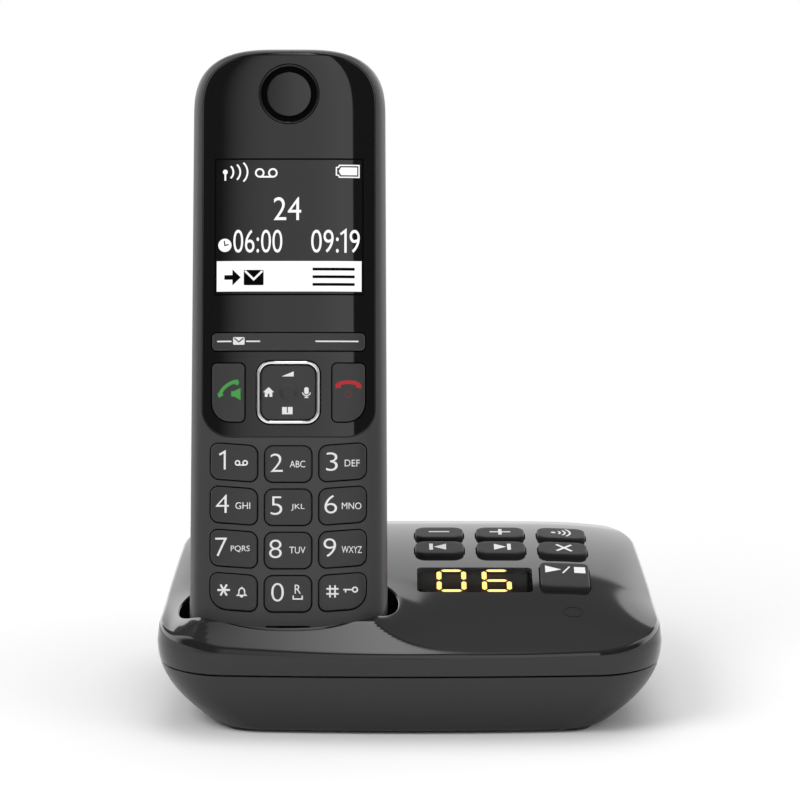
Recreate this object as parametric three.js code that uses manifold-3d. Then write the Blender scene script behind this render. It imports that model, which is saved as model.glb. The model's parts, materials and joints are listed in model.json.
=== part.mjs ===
// Cordless telephone handset standing in a desk base that holds the answering machine.
// Millimetres, +Z up, front towards -Y, origin under the middle of the base.
import * as THREE from 'three';
import { mergeVertices } from 'three/addons/utils/BufferGeometryUtils.js';
import Module from 'manifold-3d';

const wasm = await Module();
wasm.setup();

// Clearances shared by all pieces
const seatGap = 0.3;
const keyGap = 0.3;
const cutOverrun = 2;
const weldTolerance = 0.0001;

// Base, outside form
const baseWidth = 124.6;
const baseDepth = 96;
const baseSideTaper = 2.6;
const baseFrontBow = 1.4;
const baseFrontCorner = 17.5;
const baseBackCorner = 30;
const baseUnderside = 0.8;
const seamHeight = 15.7;
const beltHeight = 21;
const creaseHeight = 21.3;
const topRise = 14.8;
const crownSetback = 75;
const backRollDrop = 6;
const sideRollDrop = 4.2;
const rollRamp = 20;
const hullInsetSide = 12.9;
const hullInsetEnds = 5;
const topEdgeRadius = 0.8;
const ridgeSetback = 3.3;
const ridgeSetbackMost = 8.5;
const ridgeRunOut = 8.6;
const ridgeBlend = 30;
const ridgeFadeLeft = -60;
const ridgeFadeRight = -50;
const shellWall = 2;

// Base, form shares
const risePowerShare = 1.9;
const backRollPowerShare = 2.2;
const sideRollPowerShare = 6;
const hullSidePowerShare = 2.2;
const hullEndPowerShare = 1.5;
const sideLeanShare = 0.12;
const arcHandleShare = 0.5523;
const hullRingShares = [0, 0.12, 0.35, 0.65, 1];
const hullInsideShares = [0, 0.3, 1];
const topRingShares = [0.94, 0.86, 0.72, 0.48, 0.22];
const topInsideShares = [0.86, 0.62, 0.3];
const edgeDropShare = 0.3;
const fasciaSlopeShare = 0.407;
const outlineSteps = { front: 3, frontCorner: 4, side: 4, backCorner: 5, back: 2 };
const cornerSteps = 2;
const roundSteps = 16;
const arcSteps = 4;

// Handset, outside form
const handsetLength = 156.3;
const handsetWidth = 49;
const handsetTaper = 0.7;
const handsetFrontDepth = 7.8;
const handsetBackDepthLow = 14.2;
const handsetBackDepthHigh = 16.2;
const handsetWall = 1.8;
const topArch = 17;
const bottomArch = 9;
const endRoll = 5;
const endFlat = 0.35;

// Handset, form shares
const handsetFrontPowerShare = 4;
const handsetBackPowerShare = 2.6;
const archPowerShare = 3;
const rollPowerShare = 2.5;
const handsetArchShares = [0, 0.05, 0.16, 0.38, 0.7, 1];
const handsetSpanShares = [0.35, 0.7];
const handsetRingSteps = 20;
const handsetInsideSteps = 16;

// Handset in its cradle
const handsetLean = THREE.MathUtils.degToRad(16);
const handsetX = -29.85;
const handsetSetBack = 16.05;
const handsetY = handsetSetBack - baseDepth / 2;
const handsetZ = 11.04;
const pocketSideRoom = 2.5;
const pocketFrontRoom = 2;
const pocketBackRoom = 1.4;
const pocketWall = 1.8;
const pocketReach = 44;
const pocketFlare = 3.6;
const pocketFlareLow = 4;
const pocketFlareHigh = 13.5;
const pocketPowerShare = 2.4;
const pocketFlareShares = [0.75, 1];

const model = new THREE.Group();
const handset = new THREE.Group();
handset.position.set(handsetX, handsetY, handsetZ);
handset.rotation.x = -handsetLean;
model.add(handset);

// Solids and meshes

function welded(geometry) {
  const bare = geometry.index ? geometry.toNonIndexed() : geometry.clone();
  bare.deleteAttribute('normal');
  bare.deleteAttribute('uv');
  const merged = mergeVertices(bare, weldTolerance);
  const corners = merged.index.array;
  const kept = [];
  for (let i = 0; i < corners.length; i += 3) {
    const [a, b, c] = [corners[i], corners[i + 1], corners[i + 2]];
    if (a !== b && b !== c && c !== a) kept.push(a, b, c);
  }
  if (signedVolume(merged.attributes.position, kept) < 0) kept.reverse();
  merged.setIndex(kept);
  return merged;
}

function signedVolume(position, corners) {
  const [a, b, c] = [new THREE.Vector3(), new THREE.Vector3(), new THREE.Vector3()];
  let sum = 0;
  for (let i = 0; i < corners.length; i += 3) {
    a.fromBufferAttribute(position, corners[i]);
    b.fromBufferAttribute(position, corners[i + 1]);
    c.fromBufferAttribute(position, corners[i + 2]);
    sum += a.dot(b.cross(c));
  }
  return sum;
}

function solid(geometry) {
  const closed = welded(geometry);
  return new wasm.Manifold(new wasm.Mesh({
    numProp: 3,
    vertProperties: new Float32Array(closed.attributes.position.array),
    triVerts: new Uint32Array(closed.index.array),
  }));
}

function surface(manifold) {
  const mesh = manifold.getMesh();
  const geometry = new THREE.BufferGeometry();
  geometry.setAttribute('position', new THREE.BufferAttribute(mesh.vertProperties, 3));
  geometry.setIndex(new THREE.BufferAttribute(mesh.triVerts, 1));
  return geometry;
}

const joined = (first, ...others) => others.reduce((sum, other) => sum.add(other), first);
const without = (first, ...others) => others.reduce((rest, other) => rest.subtract(other), first);

const finish = (color, roughness, metalness = 0) => ({ color, roughness, metalness });
const finishes = {
  gloss: finish(0x1b1b1c, 0.12),
  satin: finish(0x2a2a2b, 0.4),
  matte: finish(0x2f2f30, 0.6),
  key: finish(0x262627, 0.5),
  rubber: finish(0x151515, 0.9),
  chrome: finish(0xc9cccf, 0.12, 1),
  lens: finish(0x070707, 0.05),
  glass: finish(0x0d0f10, 0.08),
  steel: finish(0xa8abad, 0.35, 1),
  gold: finish(0xc9a45a, 0.3, 1),
  board: finish(0x1e4a2c, 0.6),
  cone: finish(0x1c1c1c, 0.8),
  cell: finish(0x6d7479, 0.4, 0.3),
};

function piece(name, shape, look, parent = model) {
  const geometry = shape.isBufferGeometry ? welded(shape) : surface(shape);
  geometry.computeVertexNormals();
  const mesh = new THREE.Mesh(geometry, new THREE.MeshStandardMaterial(look));
  mesh.name = name;
  parent.add(mesh);
  return mesh;
}

// A closed skin through rings of equal length, the first and last closed by a fan
function skin(rings) {
  const count = rings[0].length;
  const points = rings.flat();
  const faces = [];
  for (let ring = 0; ring < rings.length - 1; ring += 1) {
    for (let i = 0; i < count; i += 1) {
      const a = ring * count + i;
      const b = ring * count + (i + 1) % count;
      faces.push(a, b, b + count, a, b + count, a + count);
    }
  }
  const middle = (ring) => ring.reduce((sum, p) => sum.add(p), new THREE.Vector3()).divideScalar(count);
  const low = points.push(middle(rings[0])) - 1;
  const high = points.push(middle(rings[rings.length - 1])) - 1;
  const last = (rings.length - 1) * count;
  for (let i = 0; i < count; i += 1) {
    const next = (i + 1) % count;
    faces.push(low, next, i, high, last + i, last + next);
  }
  const geometry = new THREE.BufferGeometry().setFromPoints(points);
  geometry.setIndex(faces);
  return geometry;
}

// A rectangle with rounded corners, the radii running from bottom left round to top left
function roundedOutline(width, height, radii) {
  const sides = [[-1, -1], [1, -1], [1, 1], [-1, 1]];
  const points = sides.flatMap(([sideX, sideY], corner) => {
    const radius = radii[corner];
    const centre = new THREE.Vector2(sideX * (width / 2 - radius), sideY * (height / 2 - radius));
    return Array.from({ length: cornerSteps + 1 }, (_, step) => {
      const angle = Math.PI + (corner + step / cornerSteps) * Math.PI / 2;
      return new THREE.Vector2(radius, 0).rotateAround(new THREE.Vector2(), angle).add(centre);
    });
  });
  return new THREE.Shape(points);
}

const evenOutline = (width, height, radius) => roundedOutline(width, height, Array(4).fill(radius));

function roundOutline(radius, steps = roundSteps) {
  const points = Array.from({ length: steps }, (_, index) => {
    const angle = (index / steps) * Math.PI * 2;
    return new THREE.Vector2(radius * Math.cos(angle), radius * Math.sin(angle));
  });
  return new THREE.Shape(points);
}

function slab(shape, depth) {
  return new THREE.ExtrudeGeometry(shape, { depth, bevelEnabled: false, curveSegments: arcSteps });
}

// A slab standing on the handset's face: the outline lies in x and z, from one depth y to another
function faceSlab(shape, x, z, fromY, toY) {
  return slab(shape, toY - fromY).rotateX(Math.PI / 2).translate(x, toY, z);
}

// A profile of [radius, height] pairs turned round the z axis
function turned(profile, segments = 24) {
  const points = profile.map(([radius, height]) => new THREE.Vector2(radius, height));
  return new THREE.LatheGeometry(points, segments).rotateX(Math.PI / 2);
}

function block(width, depth, height, x, y, z) {
  return new THREE.BoxGeometry(width, depth, height).translate(x, y, z);
}

// Base form

const baseHalfWidth = baseWidth / 2;
const baseHalfDepth = baseDepth / 2;

// The steeper strip in front of the cradle: how far it lifts the top, up to its ridge and behind it
function fasciaLift(x, frontY) {
  const ridge = Math.min(ridgeSetbackMost, ridgeSetback * Math.exp(-x / ridgeRunOut));
  const behind = 1 - THREE.MathUtils.smoothstep(frontY - ridge, 0, ridgeBlend);
  const reach = Math.min(Math.max(0, frontY), ridge) * behind;
  return fasciaSlopeShare * reach * THREE.MathUtils.smoothstep(x, ridgeFadeLeft, ridgeFadeRight);
}

function topHeight(x, y) {
  const crownY = crownSetback - baseHalfDepth;
  const frontY = y + baseHalfDepth;
  const climb = Math.min(1, frontY / crownSetback);
  const rise = topRise * (1 - (1 - climb) ** risePowerShare);
  const fall = backRollDrop * (Math.max(0, y - crownY) / (baseHalfDepth - crownY)) ** backRollPowerShare;
  const ramp = THREE.MathUtils.smoothstep(frontY, 0, rollRamp);
  const roll = sideRollDrop * ramp * (Math.abs(x) / baseHalfWidth) ** sideRollPowerShare;
  return creaseHeight + rise + fasciaLift(x, frontY) - fall - roll;
}

function topNormal(x, y) {
  const step = seatGap;
  const dx = (topHeight(x + step, y) - topHeight(x - step, y)) / (step + step);
  const dy = (topHeight(x, y + step) - topHeight(x, y - step)) / (step + step);
  return new THREE.Vector3(-dx, -dy, 1).normalize();
}

const baseOutline = (() => {
  const backHalfWidth = baseHalfWidth - baseSideTaper;
  const frontY = -baseHalfDepth + baseFrontBow;
  const [front, back] = [baseFrontCorner, baseBackCorner];
  const reach = (radius) => radius * (1 - arcHandleShare);
  const path = new THREE.Path();
  path.moveTo(0, -baseHalfDepth);
  path.quadraticCurveTo((baseHalfWidth - front) / 2, -baseHalfDepth, baseHalfWidth - front, frontY);
  path.bezierCurveTo(baseHalfWidth - reach(front), frontY, baseHalfWidth, frontY + reach(front),
    baseHalfWidth, frontY + front);
  path.lineTo(backHalfWidth, baseHalfDepth - back);
  path.bezierCurveTo(backHalfWidth, baseHalfDepth - reach(back), backHalfWidth - reach(back), baseHalfDepth,
    backHalfWidth - back, baseHalfDepth);
  path.lineTo(0, baseHalfDepth);
  const steps = Object.values(outlineSteps);
  const stretches = path.curves.map((curve, index) => curve.getSpacedPoints(steps[index]).slice(1));
  const right = [new THREE.Vector2(0, -baseHalfDepth), ...stretches.flat()];
  const left = right.slice(1, -1).reverse().map((p) => new THREE.Vector2(-p.x, p.y));
  return [...right, ...left];
})();

// How far the side wall stands in from the widest outline at a height
function wallInset(z) {
  if (z >= beltHeight) {
    const lean = sideLeanShare * (z - beltHeight);
    return { side: lean, end: lean };
  }
  const down = (beltHeight - z) / (beltHeight - baseUnderside);
  return { side: hullInsetSide * down ** hullSidePowerShare, end: hullInsetEnds * down ** hullEndPowerShare };
}

function insetPoint(p, side, end) {
  return new THREE.Vector2(p.x * (1 - side / baseHalfWidth), p.y * (1 - end / baseHalfDepth));
}

function wallPoint(p, inset, z) {
  const wall = wallInset(z);
  const q = insetPoint(p, wall.side + inset, wall.end + inset);
  return new THREE.Vector3(q.x, q.y, z);
}

// The body under the top surface, drawn in by an inset and lowered by a drop
function baseBody(inset, drop, bottom, ringShares = topRingShares) {
  const edgeZ = (p) => topHeight(p.x, p.y) - drop;
  const shoulder = (p) => edgeZ(p) - topEdgeRadius;
  const heights = [() => bottom, (p) => Math.min(beltHeight, shoulder(p)), shoulder];
  const rings = heights.map((height) => baseOutline.map((p) => wallPoint(p, inset, height(p))));
  rings.push(baseOutline.map((p) => {
    const z = edgeZ(p) - topEdgeRadius * edgeDropShare;
    return wallPoint(p, inset + topEdgeRadius * edgeDropShare, z);
  }));
  const rim = baseOutline.map((p) => {
    const q = wallPoint(p, inset + topEdgeRadius, edgeZ(p));
    return new THREE.Vector3(q.x, q.y, topHeight(q.x, q.y) - drop);
  });
  rings.push(rim);
  for (const share of ringShares) {
    rings.push(rim.map((p) => {
      const [x, y] = [p.x * share, p.y * share];
      return new THREE.Vector3(x, y, topHeight(x, y) - drop);
    }));
  }
  return skin(rings);
}

// The hull under the seam, drawn in by an inset, between two heights
function baseHull(inset, bottom, top, ringShares = hullRingShares) {
  return skin(ringShares.map((share) => {
    const z = bottom + share * (top - bottom);
    return baseOutline.map((p) => wallPoint(p, inset, z));
  }));
}

// Puts a geometry on the top surface, its z axis along the surface's normal
function onTop(geometry, x, y) {
  const turn = new THREE.Quaternion().setFromUnitVectors(new THREE.Vector3(0, 0, 1), topNormal(x, y));
  return geometry.applyQuaternion(turn).translate(x, y, topHeight(x, y));
}

// Puts a geometry drawn in the handset's frame into the base's frame
function inCradle(geometry) {
  return geometry.rotateX(-handsetLean).translate(handsetX, handsetY, handsetZ);
}

// Handset form

const rounded = (distance, reach, power) => {
  const near = 1 - Math.min(1, (Math.max(0, distance) + endFlat) / (reach + endFlat));
  return (1 - near ** power) ** (1 / power);
};

function lobeRing(halfWidth, front, back, frontPower, backPower, z, steps) {
  const ring = [];
  for (let i = 0; i < steps; i += 1) {
    const angle = (i / steps) * Math.PI * 2;
    const [c, s] = [Math.cos(angle), Math.sin(angle)];
    const power = s < 0 ? frontPower : backPower;
    const depth = s < 0 ? front : back;
    const x = halfWidth * Math.sign(c) * Math.abs(c) ** (2 / power);
    const y = depth * Math.sign(s) * Math.abs(s) ** (2 / power);
    ring.push(new THREE.Vector3(x, y, z));
  }
  return ring;
}

function handsetBackDepth(z) {
  const share = THREE.MathUtils.smoothstep(z, handsetBackDepthLow, handsetLength - topArch);
  return THREE.MathUtils.lerp(handsetBackDepthLow, handsetBackDepthHigh, share);
}

// The handset's body, swelled by a growth or drawn in by a negative one
function handsetBody(growth, steps = handsetRingSteps) {
  const [low, high] = [-growth, handsetLength + growth];
  const [bottomReach, topReach] = [bottomArch + growth, topArch + growth];
  const span = high - topReach - low - bottomReach;
  const stations = [
    ...handsetArchShares.map((share) => low + share * bottomReach),
    ...handsetSpanShares.map((share) => low + bottomReach + share * span),
    ...handsetArchShares.map((share) => high - share * topReach).reverse(),
  ];
  return skin(stations.map((z) => {
    const narrow = handsetTaper * (z / handsetLength);
    const arch = rounded(z - low, bottomReach, archPowerShare) * rounded(high - z, topReach, archPowerShare);
    const roll = rounded(z - low, endRoll + growth, rollPowerShare)
      * rounded(high - z, endRoll + growth, rollPowerShare);
    const halfWidth = (handsetWidth / 2 - narrow + growth) * arch;
    const front = (handsetFrontDepth + growth) * roll;
    const back = (handsetBackDepth(z) + growth) * roll;
    return lobeRing(halfWidth, front, back, handsetFrontPowerShare, handsetBackPowerShare, z, steps);
  }));
}

// The cradle's pocket, swelled by a growth
function pocketBody(growth) {
  const low = -seatGap - growth;
  const reach = bottomArch + growth;
  const flareSpan = pocketFlareHigh - pocketFlareLow;
  const stations = [
    ...handsetArchShares.map((share) => low + share * reach),
    ...pocketFlareShares.map((share) => pocketFlareLow + share * flareSpan),
    pocketReach,
  ];
  return skin(stations.map((z) => {
    const flare = pocketFlare * THREE.MathUtils.smoothstep(z, pocketFlareLow, pocketFlareHigh);
    const arch = rounded(z - low, reach, archPowerShare);
    const roll = rounded(z - low, endRoll + growth, rollPowerShare);
    const halfWidth = (handsetWidth / 2 + pocketSideRoom + growth) * arch;
    const front = (handsetFrontDepth + pocketFrontRoom + flare + growth) * roll;
    const back = (handsetBackDepthLow + pocketBackRoom + growth) * roll;
    return lobeRing(halfWidth, front, back, pocketPowerShare, pocketPowerShare, z, handsetRingSteps);
  }));
}

// Base keys, display window and their board

const keyColumnLeft = 7.7;
const keyColumnSetIn = 23.2;
const keyColumnGap = 3.3;
const keyRowGap = 2.7;
const keyRowPitchShare = 0.121875;
const keyRowBackShare = 0.17292;
const keyRowPlayShare = 0.12292;
const keyColumnRight = baseHalfWidth - keyColumnSetIn;
const keyColumnMiddle = (keyColumnLeft + keyColumnRight) / 2;
const keyRowPitch = baseDepth * keyRowPitchShare;
const keyRowBack = baseDepth * keyRowBackShare;
const keyRowFront = keyRowBack - keyRowPitch;
const keyRowPlay = -baseDepth * keyRowPlayShare;
const baseKeyDepth = keyRowPitch - keyRowGap;
const baseKeyWidth = keyColumnMiddle - keyColumnLeft - keyColumnGap;
const baseKeyCorner = 2.8;
const baseKeyProud = 1.8;
const baseKeySunk = 4.8;
const baseKeyFlange = 0.7;
const baseKeyFlangeHeight = 0.7;
const baseKeyStemInset = 1;
const baseKeyBevel = 0.5;
const playKeyTrim = 0.1;
const playKeyWidth = baseKeyWidth - playKeyTrim;
const playKeyX = keyColumnRight - playKeyTrim;
const playKeyDepthShare = 0.14583;
const playKeyDepth = baseDepth * playKeyDepthShare;
const playKeyCorner = 1.6;
const baseKeys = [
  { name: 'key_volume_down', x: keyColumnLeft, y: keyRowBack },
  { name: 'key_volume_up', x: keyColumnMiddle, y: keyRowBack },
  { name: 'key_paging', x: keyColumnRight, y: keyRowBack },
  { name: 'key_back', x: keyColumnLeft, y: keyRowFront },
  { name: 'key_forward', x: keyColumnMiddle, y: keyRowFront },
  { name: 'key_delete', x: keyColumnRight, y: keyRowFront },
  { name: 'key_play_stop', x: playKeyX, y: keyRowPlay, play: true },
];

function baseKeyOutline(key, growth) {
  const width = (key.play ? playKeyWidth : baseKeyWidth) + growth * 2;
  const depth = (key.play ? playKeyDepth : baseKeyDepth) + growth * 2;
  return evenOutline(width, depth, (key.play ? playKeyCorner : baseKeyCorner) + growth);
}

function baseKeySolid(key) {
  const flangeTop = -shellWall - seatGap * 2;
  const flangeFoot = flangeTop - baseKeyFlangeHeight;
  const levels = [[-baseKeyStemInset, -baseKeySunk], [-baseKeyStemInset, flangeFoot],
    [baseKeyFlange, flangeFoot], [baseKeyFlange, flangeTop], [0, flangeTop],
    [0, baseKeyProud - baseKeyBevel], [-baseKeyBevel, baseKeyProud]];
  return onTop(skin(levels.map(([growth, z]) => (
    baseKeyOutline(key, growth).getPoints().map((p) => new THREE.Vector3(p.x, p.y, z))
  ))), key.x, key.y);
}

const windowOverhang = 5.6;
const windowGap = 2.15;
const windowLevelShare = 0.13437;
const windowDepthShare = 0.14375;
const windowLeft = keyColumnLeft - windowOverhang;
const windowRight = playKeyX - playKeyWidth / 2 - windowGap;
const windowWidth = windowRight - windowLeft;
const windowDepth = baseDepth * windowDepthShare;
const windowX = (windowLeft + windowRight) / 2;
const windowY = -baseDepth * windowLevelShare;
const windowCorner = 1.2;
const windowThickness = 1.3;
const digitModuleSetIn = 1.3;
const digitModuleRoom = 0.2;
const digitModuleWidth = windowWidth - digitModuleSetIn * 2;
const digitModuleDepth = windowDepth - digitModuleRoom * 2;
const digitModuleHeight = 4.4;
const keyBoardTiltRoom = 1;
const keyBoardThickness = 1.2;
const keyBoardBackMargin = 5.4;
const keyBoardFrontMargin = 1.2;
const keyBoardSideMargin = 6.9;
const keyBoardBack = keyRowBack + keyBoardBackMargin;
const keyBoardFront = keyRowPlay - playKeyDepth / 2 - keyBoardFrontMargin;
const keyBoardLeft = keyColumnLeft - keyBoardSideMargin;
const keyBoardRight = keyColumnRight + keyBoardSideMargin;
const keyMatThickness = 0.6;
const keyPostRadius = 1.8;
const panelNormal = topNormal(keyColumnMiddle, keyRowFront);
const digitModuleDrop = windowThickness + seatGap + digitModuleHeight;
const boardDrop = digitModuleDrop + seatGap + keyBoardTiltRoom;

// Puts a geometry into the tilted plane of the key panel, at a depth under the window
function onPanel(geometry, x, y, depth) {
  const turn = new THREE.Quaternion().setFromUnitVectors(new THREE.Vector3(0, 0, 1), panelNormal);
  const windowZ = topHeight(windowX, windowY);
  const z = windowZ - (panelNormal.x * (x - windowX) + panelNormal.y * (y - windowY)) / panelNormal.z;
  return geometry.applyQuaternion(turn).translate(x, y, z).translate(
    -panelNormal.x * depth, -panelNormal.y * depth, -panelNormal.z * depth);
}

function windowOutline(growth) {
  return evenOutline(windowWidth + growth * 2, windowDepth + growth * 2, windowCorner + growth);
}

function windowSlab(growth) {
  const reach = shellWall * 2;
  return solid(onTop(slab(windowOutline(growth), reach * 2).translate(0, 0, -reach), windowX, windowY));
}

// Base shells

const bossRadius = 3;
const bossBore = 1.3;
const rearBossSetIn = 24.3;
const rearBossSetBack = 21;
const frontBossSetIn = 16.3;
const frontBossShare = 0.22917;
const frontBossSetBack = baseDepth * frontBossShare;
const rearBossX = baseHalfWidth - rearBossSetIn;
const rearBossY = baseHalfDepth - rearBossSetBack;
const frontBossX = baseHalfWidth - frontBossSetIn;
const frontBossY = frontBossSetBack - baseHalfDepth;
const screwPlaces = [
  { name: 'base_screw_rear_left', x: -rearBossX, y: rearBossY },
  { name: 'base_screw_rear_right', x: rearBossX, y: rearBossY },
  { name: 'base_screw_front_right', x: frontBossX, y: frontBossY },
];
const screwHeadRadius = 2.6;
const screwHeadHeight = 1.8;
const screwShankRadius = 1;
const screwLength = 11;
const screwRecess = 1.2;
const screwSocketRadius = 0.9;
const screwColumnWall = 1.6;
const screwColumnTop = 7;

const socketBackY = baseHalfDepth - shellWall / 2;
const lineSocketX = 6;
const lineSocketWidth = 13.4;
const lineSocketDepth = 15;
const lineSocketHeight = 11.6;
const powerSocketX = 27;
const powerSocketWidth = 9;
const powerSocketDepth = 13;
const powerSocketHeight = 10.6;
const boardThickness = 1.6;
const boardUnderside = 14.6;
const boardLeft = 3.4;
const boardRight = 34.4;
const boardSetBack = 22;
const boardSetIn = 11;
const boardFront = boardSetBack - baseHalfDepth;
const boardBack = baseHalfDepth - boardSetIn;
const socketUnderside = boardUnderside + boardThickness + seatGap;

function socketOpening(x, width, height) {
  const z = socketUnderside + height / 2;
  const reach = baseBackCorner;
  return solid(block(width + seatGap * 2, reach, height + seatGap * 2, x, baseHalfDepth, z));
}

function boss(place) {
  const foot = screwColumnTop + seatGap;
  const height = beltHeight + topRise;
  return turned([[0, foot], [bossRadius, foot], [bossRadius, height], [0, height]], 16)
    .translate(place.x, place.y, 0);
}

function bossHole(place) {
  const [low, high] = [0, screwLength + screwRecess + seatGap + bossBore];
  return solid(turned([[0, low], [bossBore, low], [bossBore, high], [0, high]], 12)
    .translate(place.x, place.y, 0));
}

function keyPost(x, y) {
  const depth = boardDrop - seatGap;
  const post = slab(roundOutline(keyPostRadius, 10), depth);
  return solid(onPanel(post.translate(0, 0, -depth), x, y, 0));
}

const contactX = 6;
const contactY = 4.6;
const contactWidth = 2.4;
const contactReach = 3.6;
const contactHeight = 2.3;
const contactFoot = 4.6;
const contactThickness = 0.5;
const contactSlotRoom = 0.6;
const contactSides = [-1, 1];

function contactSlot(side) {
  const tall = pocketWall * 4;
  return solid(inCradle(block(contactWidth + contactSlotRoom * 2, contactReach + contactSlotRoom * 2, tall,
    side * contactX, contactY, -pocketWall)));
}

const upperUnderside = seamHeight + seatGap / 2;
const underTop = solid(baseBody(shellWall / 2, topEdgeRadius, upperUnderside));
const pocketInset = shellWall + seatGap * 2;
const boxedIn = solid(baseHull(pocketInset, baseUnderside + pocketInset, beltHeight, hullInsideShares))
  .add(solid(baseBody(pocketInset, topEdgeRadius, seamHeight, topInsideShares)));
const upperSkin = without(
  solid(baseBody(0, 0, upperUnderside)),
  solid(baseBody(shellWall, shellWall, upperUnderside - cutOverrun, topInsideShares)),
);
const pocketShell = solid(inCradle(pocketBody(pocketWall))).intersect(boxedIn);
const keyPostPlaces = [
  [(keyColumnLeft + keyColumnMiddle) / 2, (keyRowBack + keyRowFront) / 2],
  [(keyColumnMiddle + keyColumnRight) / 2, (keyRowBack + keyRowFront) / 2],
];
const upperFittings = joined(
  ...screwPlaces.map((place) => solid(boss(place)).intersect(underTop)),
  ...keyPostPlaces.map(([x, y]) => keyPost(x, y).intersect(underTop)),
);
const upperCuts = [
  solid(inCradle(pocketBody(0))),
  ...contactSides.map(contactSlot),
  ...baseKeys.map((key) => solid(onTop(
    slab(baseKeyOutline(key, keyGap), shellWall * 4).translate(0, 0, -shellWall * 2), key.x, key.y))),
  windowSlab(keyGap),
  socketOpening(lineSocketX, lineSocketWidth, lineSocketHeight),
  socketOpening(powerSocketX, powerSocketWidth, powerSocketHeight),
  ...screwPlaces.map(bossHole),
];
const upperBody = joined(upperSkin, pocketShell, upperFittings);
piece('base_upper_shell', without(upperBody, ...upperCuts), finishes.gloss);

const speakerX = 24;
const speakerY = 2;
const speakerRadius = 18;
const speakerHeight = 7.4;
const speakerRimHeight = 1.5;
const speakerBasketHeight = 3;
const magnetRadius = 8;
const grilleSlots = 7;
const grilleSlotWidth = 1.6;
const grillePitch = 4;
const footRadius = 5;
const footHeight = 1.4;
const frontFootSetIn = 22.3;
const frontFootSetBack = 13.5;
const rearFootSetIn = 33.3;
const rearFootSetBack = 14;
const boardPostRadius = 2.2;
const boardPostSetIn = 4;
const lipWall = 1.1;
const lipHeight = 1.6;

const footPlaces = [
  [frontFootSetIn - baseHalfWidth, frontFootSetBack - baseHalfDepth],
  [baseHalfWidth - frontFootSetIn, frontFootSetBack - baseHalfDepth],
  [rearFootSetIn - baseHalfWidth, baseHalfDepth - rearFootSetBack],
  [baseHalfWidth - rearFootSetIn, baseHalfDepth - rearFootSetBack],
];

function grilleSlot(index) {
  const y = speakerY + (index - (grilleSlots - 1) / 2) * grillePitch;
  const half = Math.sqrt((speakerRadius - grillePitch) ** 2 - (y - speakerY) ** 2);
  return solid(slab(evenOutline(half * 2, grilleSlotWidth, grilleSlotWidth / 2), shellWall + cutOverrun)
    .translate(speakerX, y, baseUnderside - cutOverrun / 2));
}

const columnAt = (radius, low, high, x, y, segments) => (
  solid(turned([[0, low], [radius, low], [radius, high], [0, high]], segments).translate(x, y, 0))
);
const lowerTop = seamHeight - seatGap / 2;
const floorTop = baseUnderside + shellWall;
const lipTop = lowerTop + lipHeight;
const lipInset = shellWall + seatGap * 2;
const lowerSkin = without(
  solid(baseHull(0, baseUnderside, lowerTop)),
  solid(baseHull(shellWall, floorTop, lowerTop + cutOverrun, hullInsideShares)),
);
const hullSkin = (levels) => solid(skin(levels.map(([inset, z]) => (
  baseOutline.map((p) => wallPoint(p, inset, z))
))));
const lipFoot = lowerTop - shellWall;
const lipRing = without(
  hullSkin([[shellWall / 2, lipFoot], [shellWall / 2, lowerTop - seatGap], [lipInset, lowerTop - seatGap],
    [lipInset, lipTop]]),
  hullSkin([[lipInset + lipWall, lipFoot - shellWall], [lipInset + lipWall, lipTop + cutOverrun]]),
);
const pocketRoom = solid(inCradle(pocketBody(pocketWall + seatGap)));
const socketRoomLeft = lineSocketX - lineSocketWidth / 2 - seatGap;
const socketRoomRight = powerSocketX + powerSocketWidth / 2 + seatGap;
const socketRoom = solid(block(socketRoomRight - socketRoomLeft, lineSocketDepth * 2, lipHeight * 4,
  (socketRoomLeft + socketRoomRight) / 2, socketBackY, socketUnderside - seatGap + lipHeight * 2));
const bossRoom = screwPlaces.map((place) => (
  columnAt(bossRadius + seatGap, screwColumnTop, lipTop + cutOverrun, place.x, place.y, 16)
));
const boardPosts = [
  [boardLeft + boardPostSetIn, boardFront + boardPostSetIn],
  [boardRight - boardPostSetIn, boardFront + boardPostSetIn],
  [boardLeft + boardPostSetIn, boardBack - boardPostSetIn],
  [boardRight - boardPostSetIn, boardBack - boardPostSetIn],
].map(([x, y]) => columnAt(boardPostRadius, floorTop - shellWall / 2, boardUnderside - seatGap, x, y, 12));
const screwColumns = screwPlaces.map((place) => (
  columnAt(bossRadius, floorTop - shellWall / 2, screwColumnTop, place.x, place.y, 16)
));
const lowerCuts = [
  ...Array.from({ length: grilleSlots }, (_, index) => grilleSlot(index)),
  ...footPlaces.map(([x, y]) => (
    columnAt(footRadius + seatGap, 0, footHeight + seatGap, x, y, roundSteps)
  )),
  ...screwPlaces.map((place) => (
    columnAt(screwHeadRadius + seatGap, 0, screwRecess + screwHeadHeight + seatGap, place.x, place.y, 16)
  )),
  ...screwPlaces.map((place) => (
    columnAt(screwShankRadius + seatGap, 0, screwColumnTop + cutOverrun, place.x, place.y, 12)
  )),
];
const lowerLip = without(lipRing, pocketRoom, socketRoom, ...bossRoom);
piece('base_lower_shell', without(joined(lowerSkin, lowerLip, ...boardPosts, ...screwColumns), ...lowerCuts),
  finishes.matte);

footPlaces.forEach(([x, y], index) => {
  const dome = footRadius - footHeight / 2;
  const side = `${index % 2 ? 'right' : 'left'}`;
  const end = `${index < 2 ? 'front' : 'rear'}`;
  piece(`foot_${end}_${side}`, turned([[0, 0], [dome, 0], [footRadius, footHeight / 2],
    [footRadius, footHeight], [0, footHeight]], roundSteps).translate(x, y, 0), finishes.rubber);
});

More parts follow.
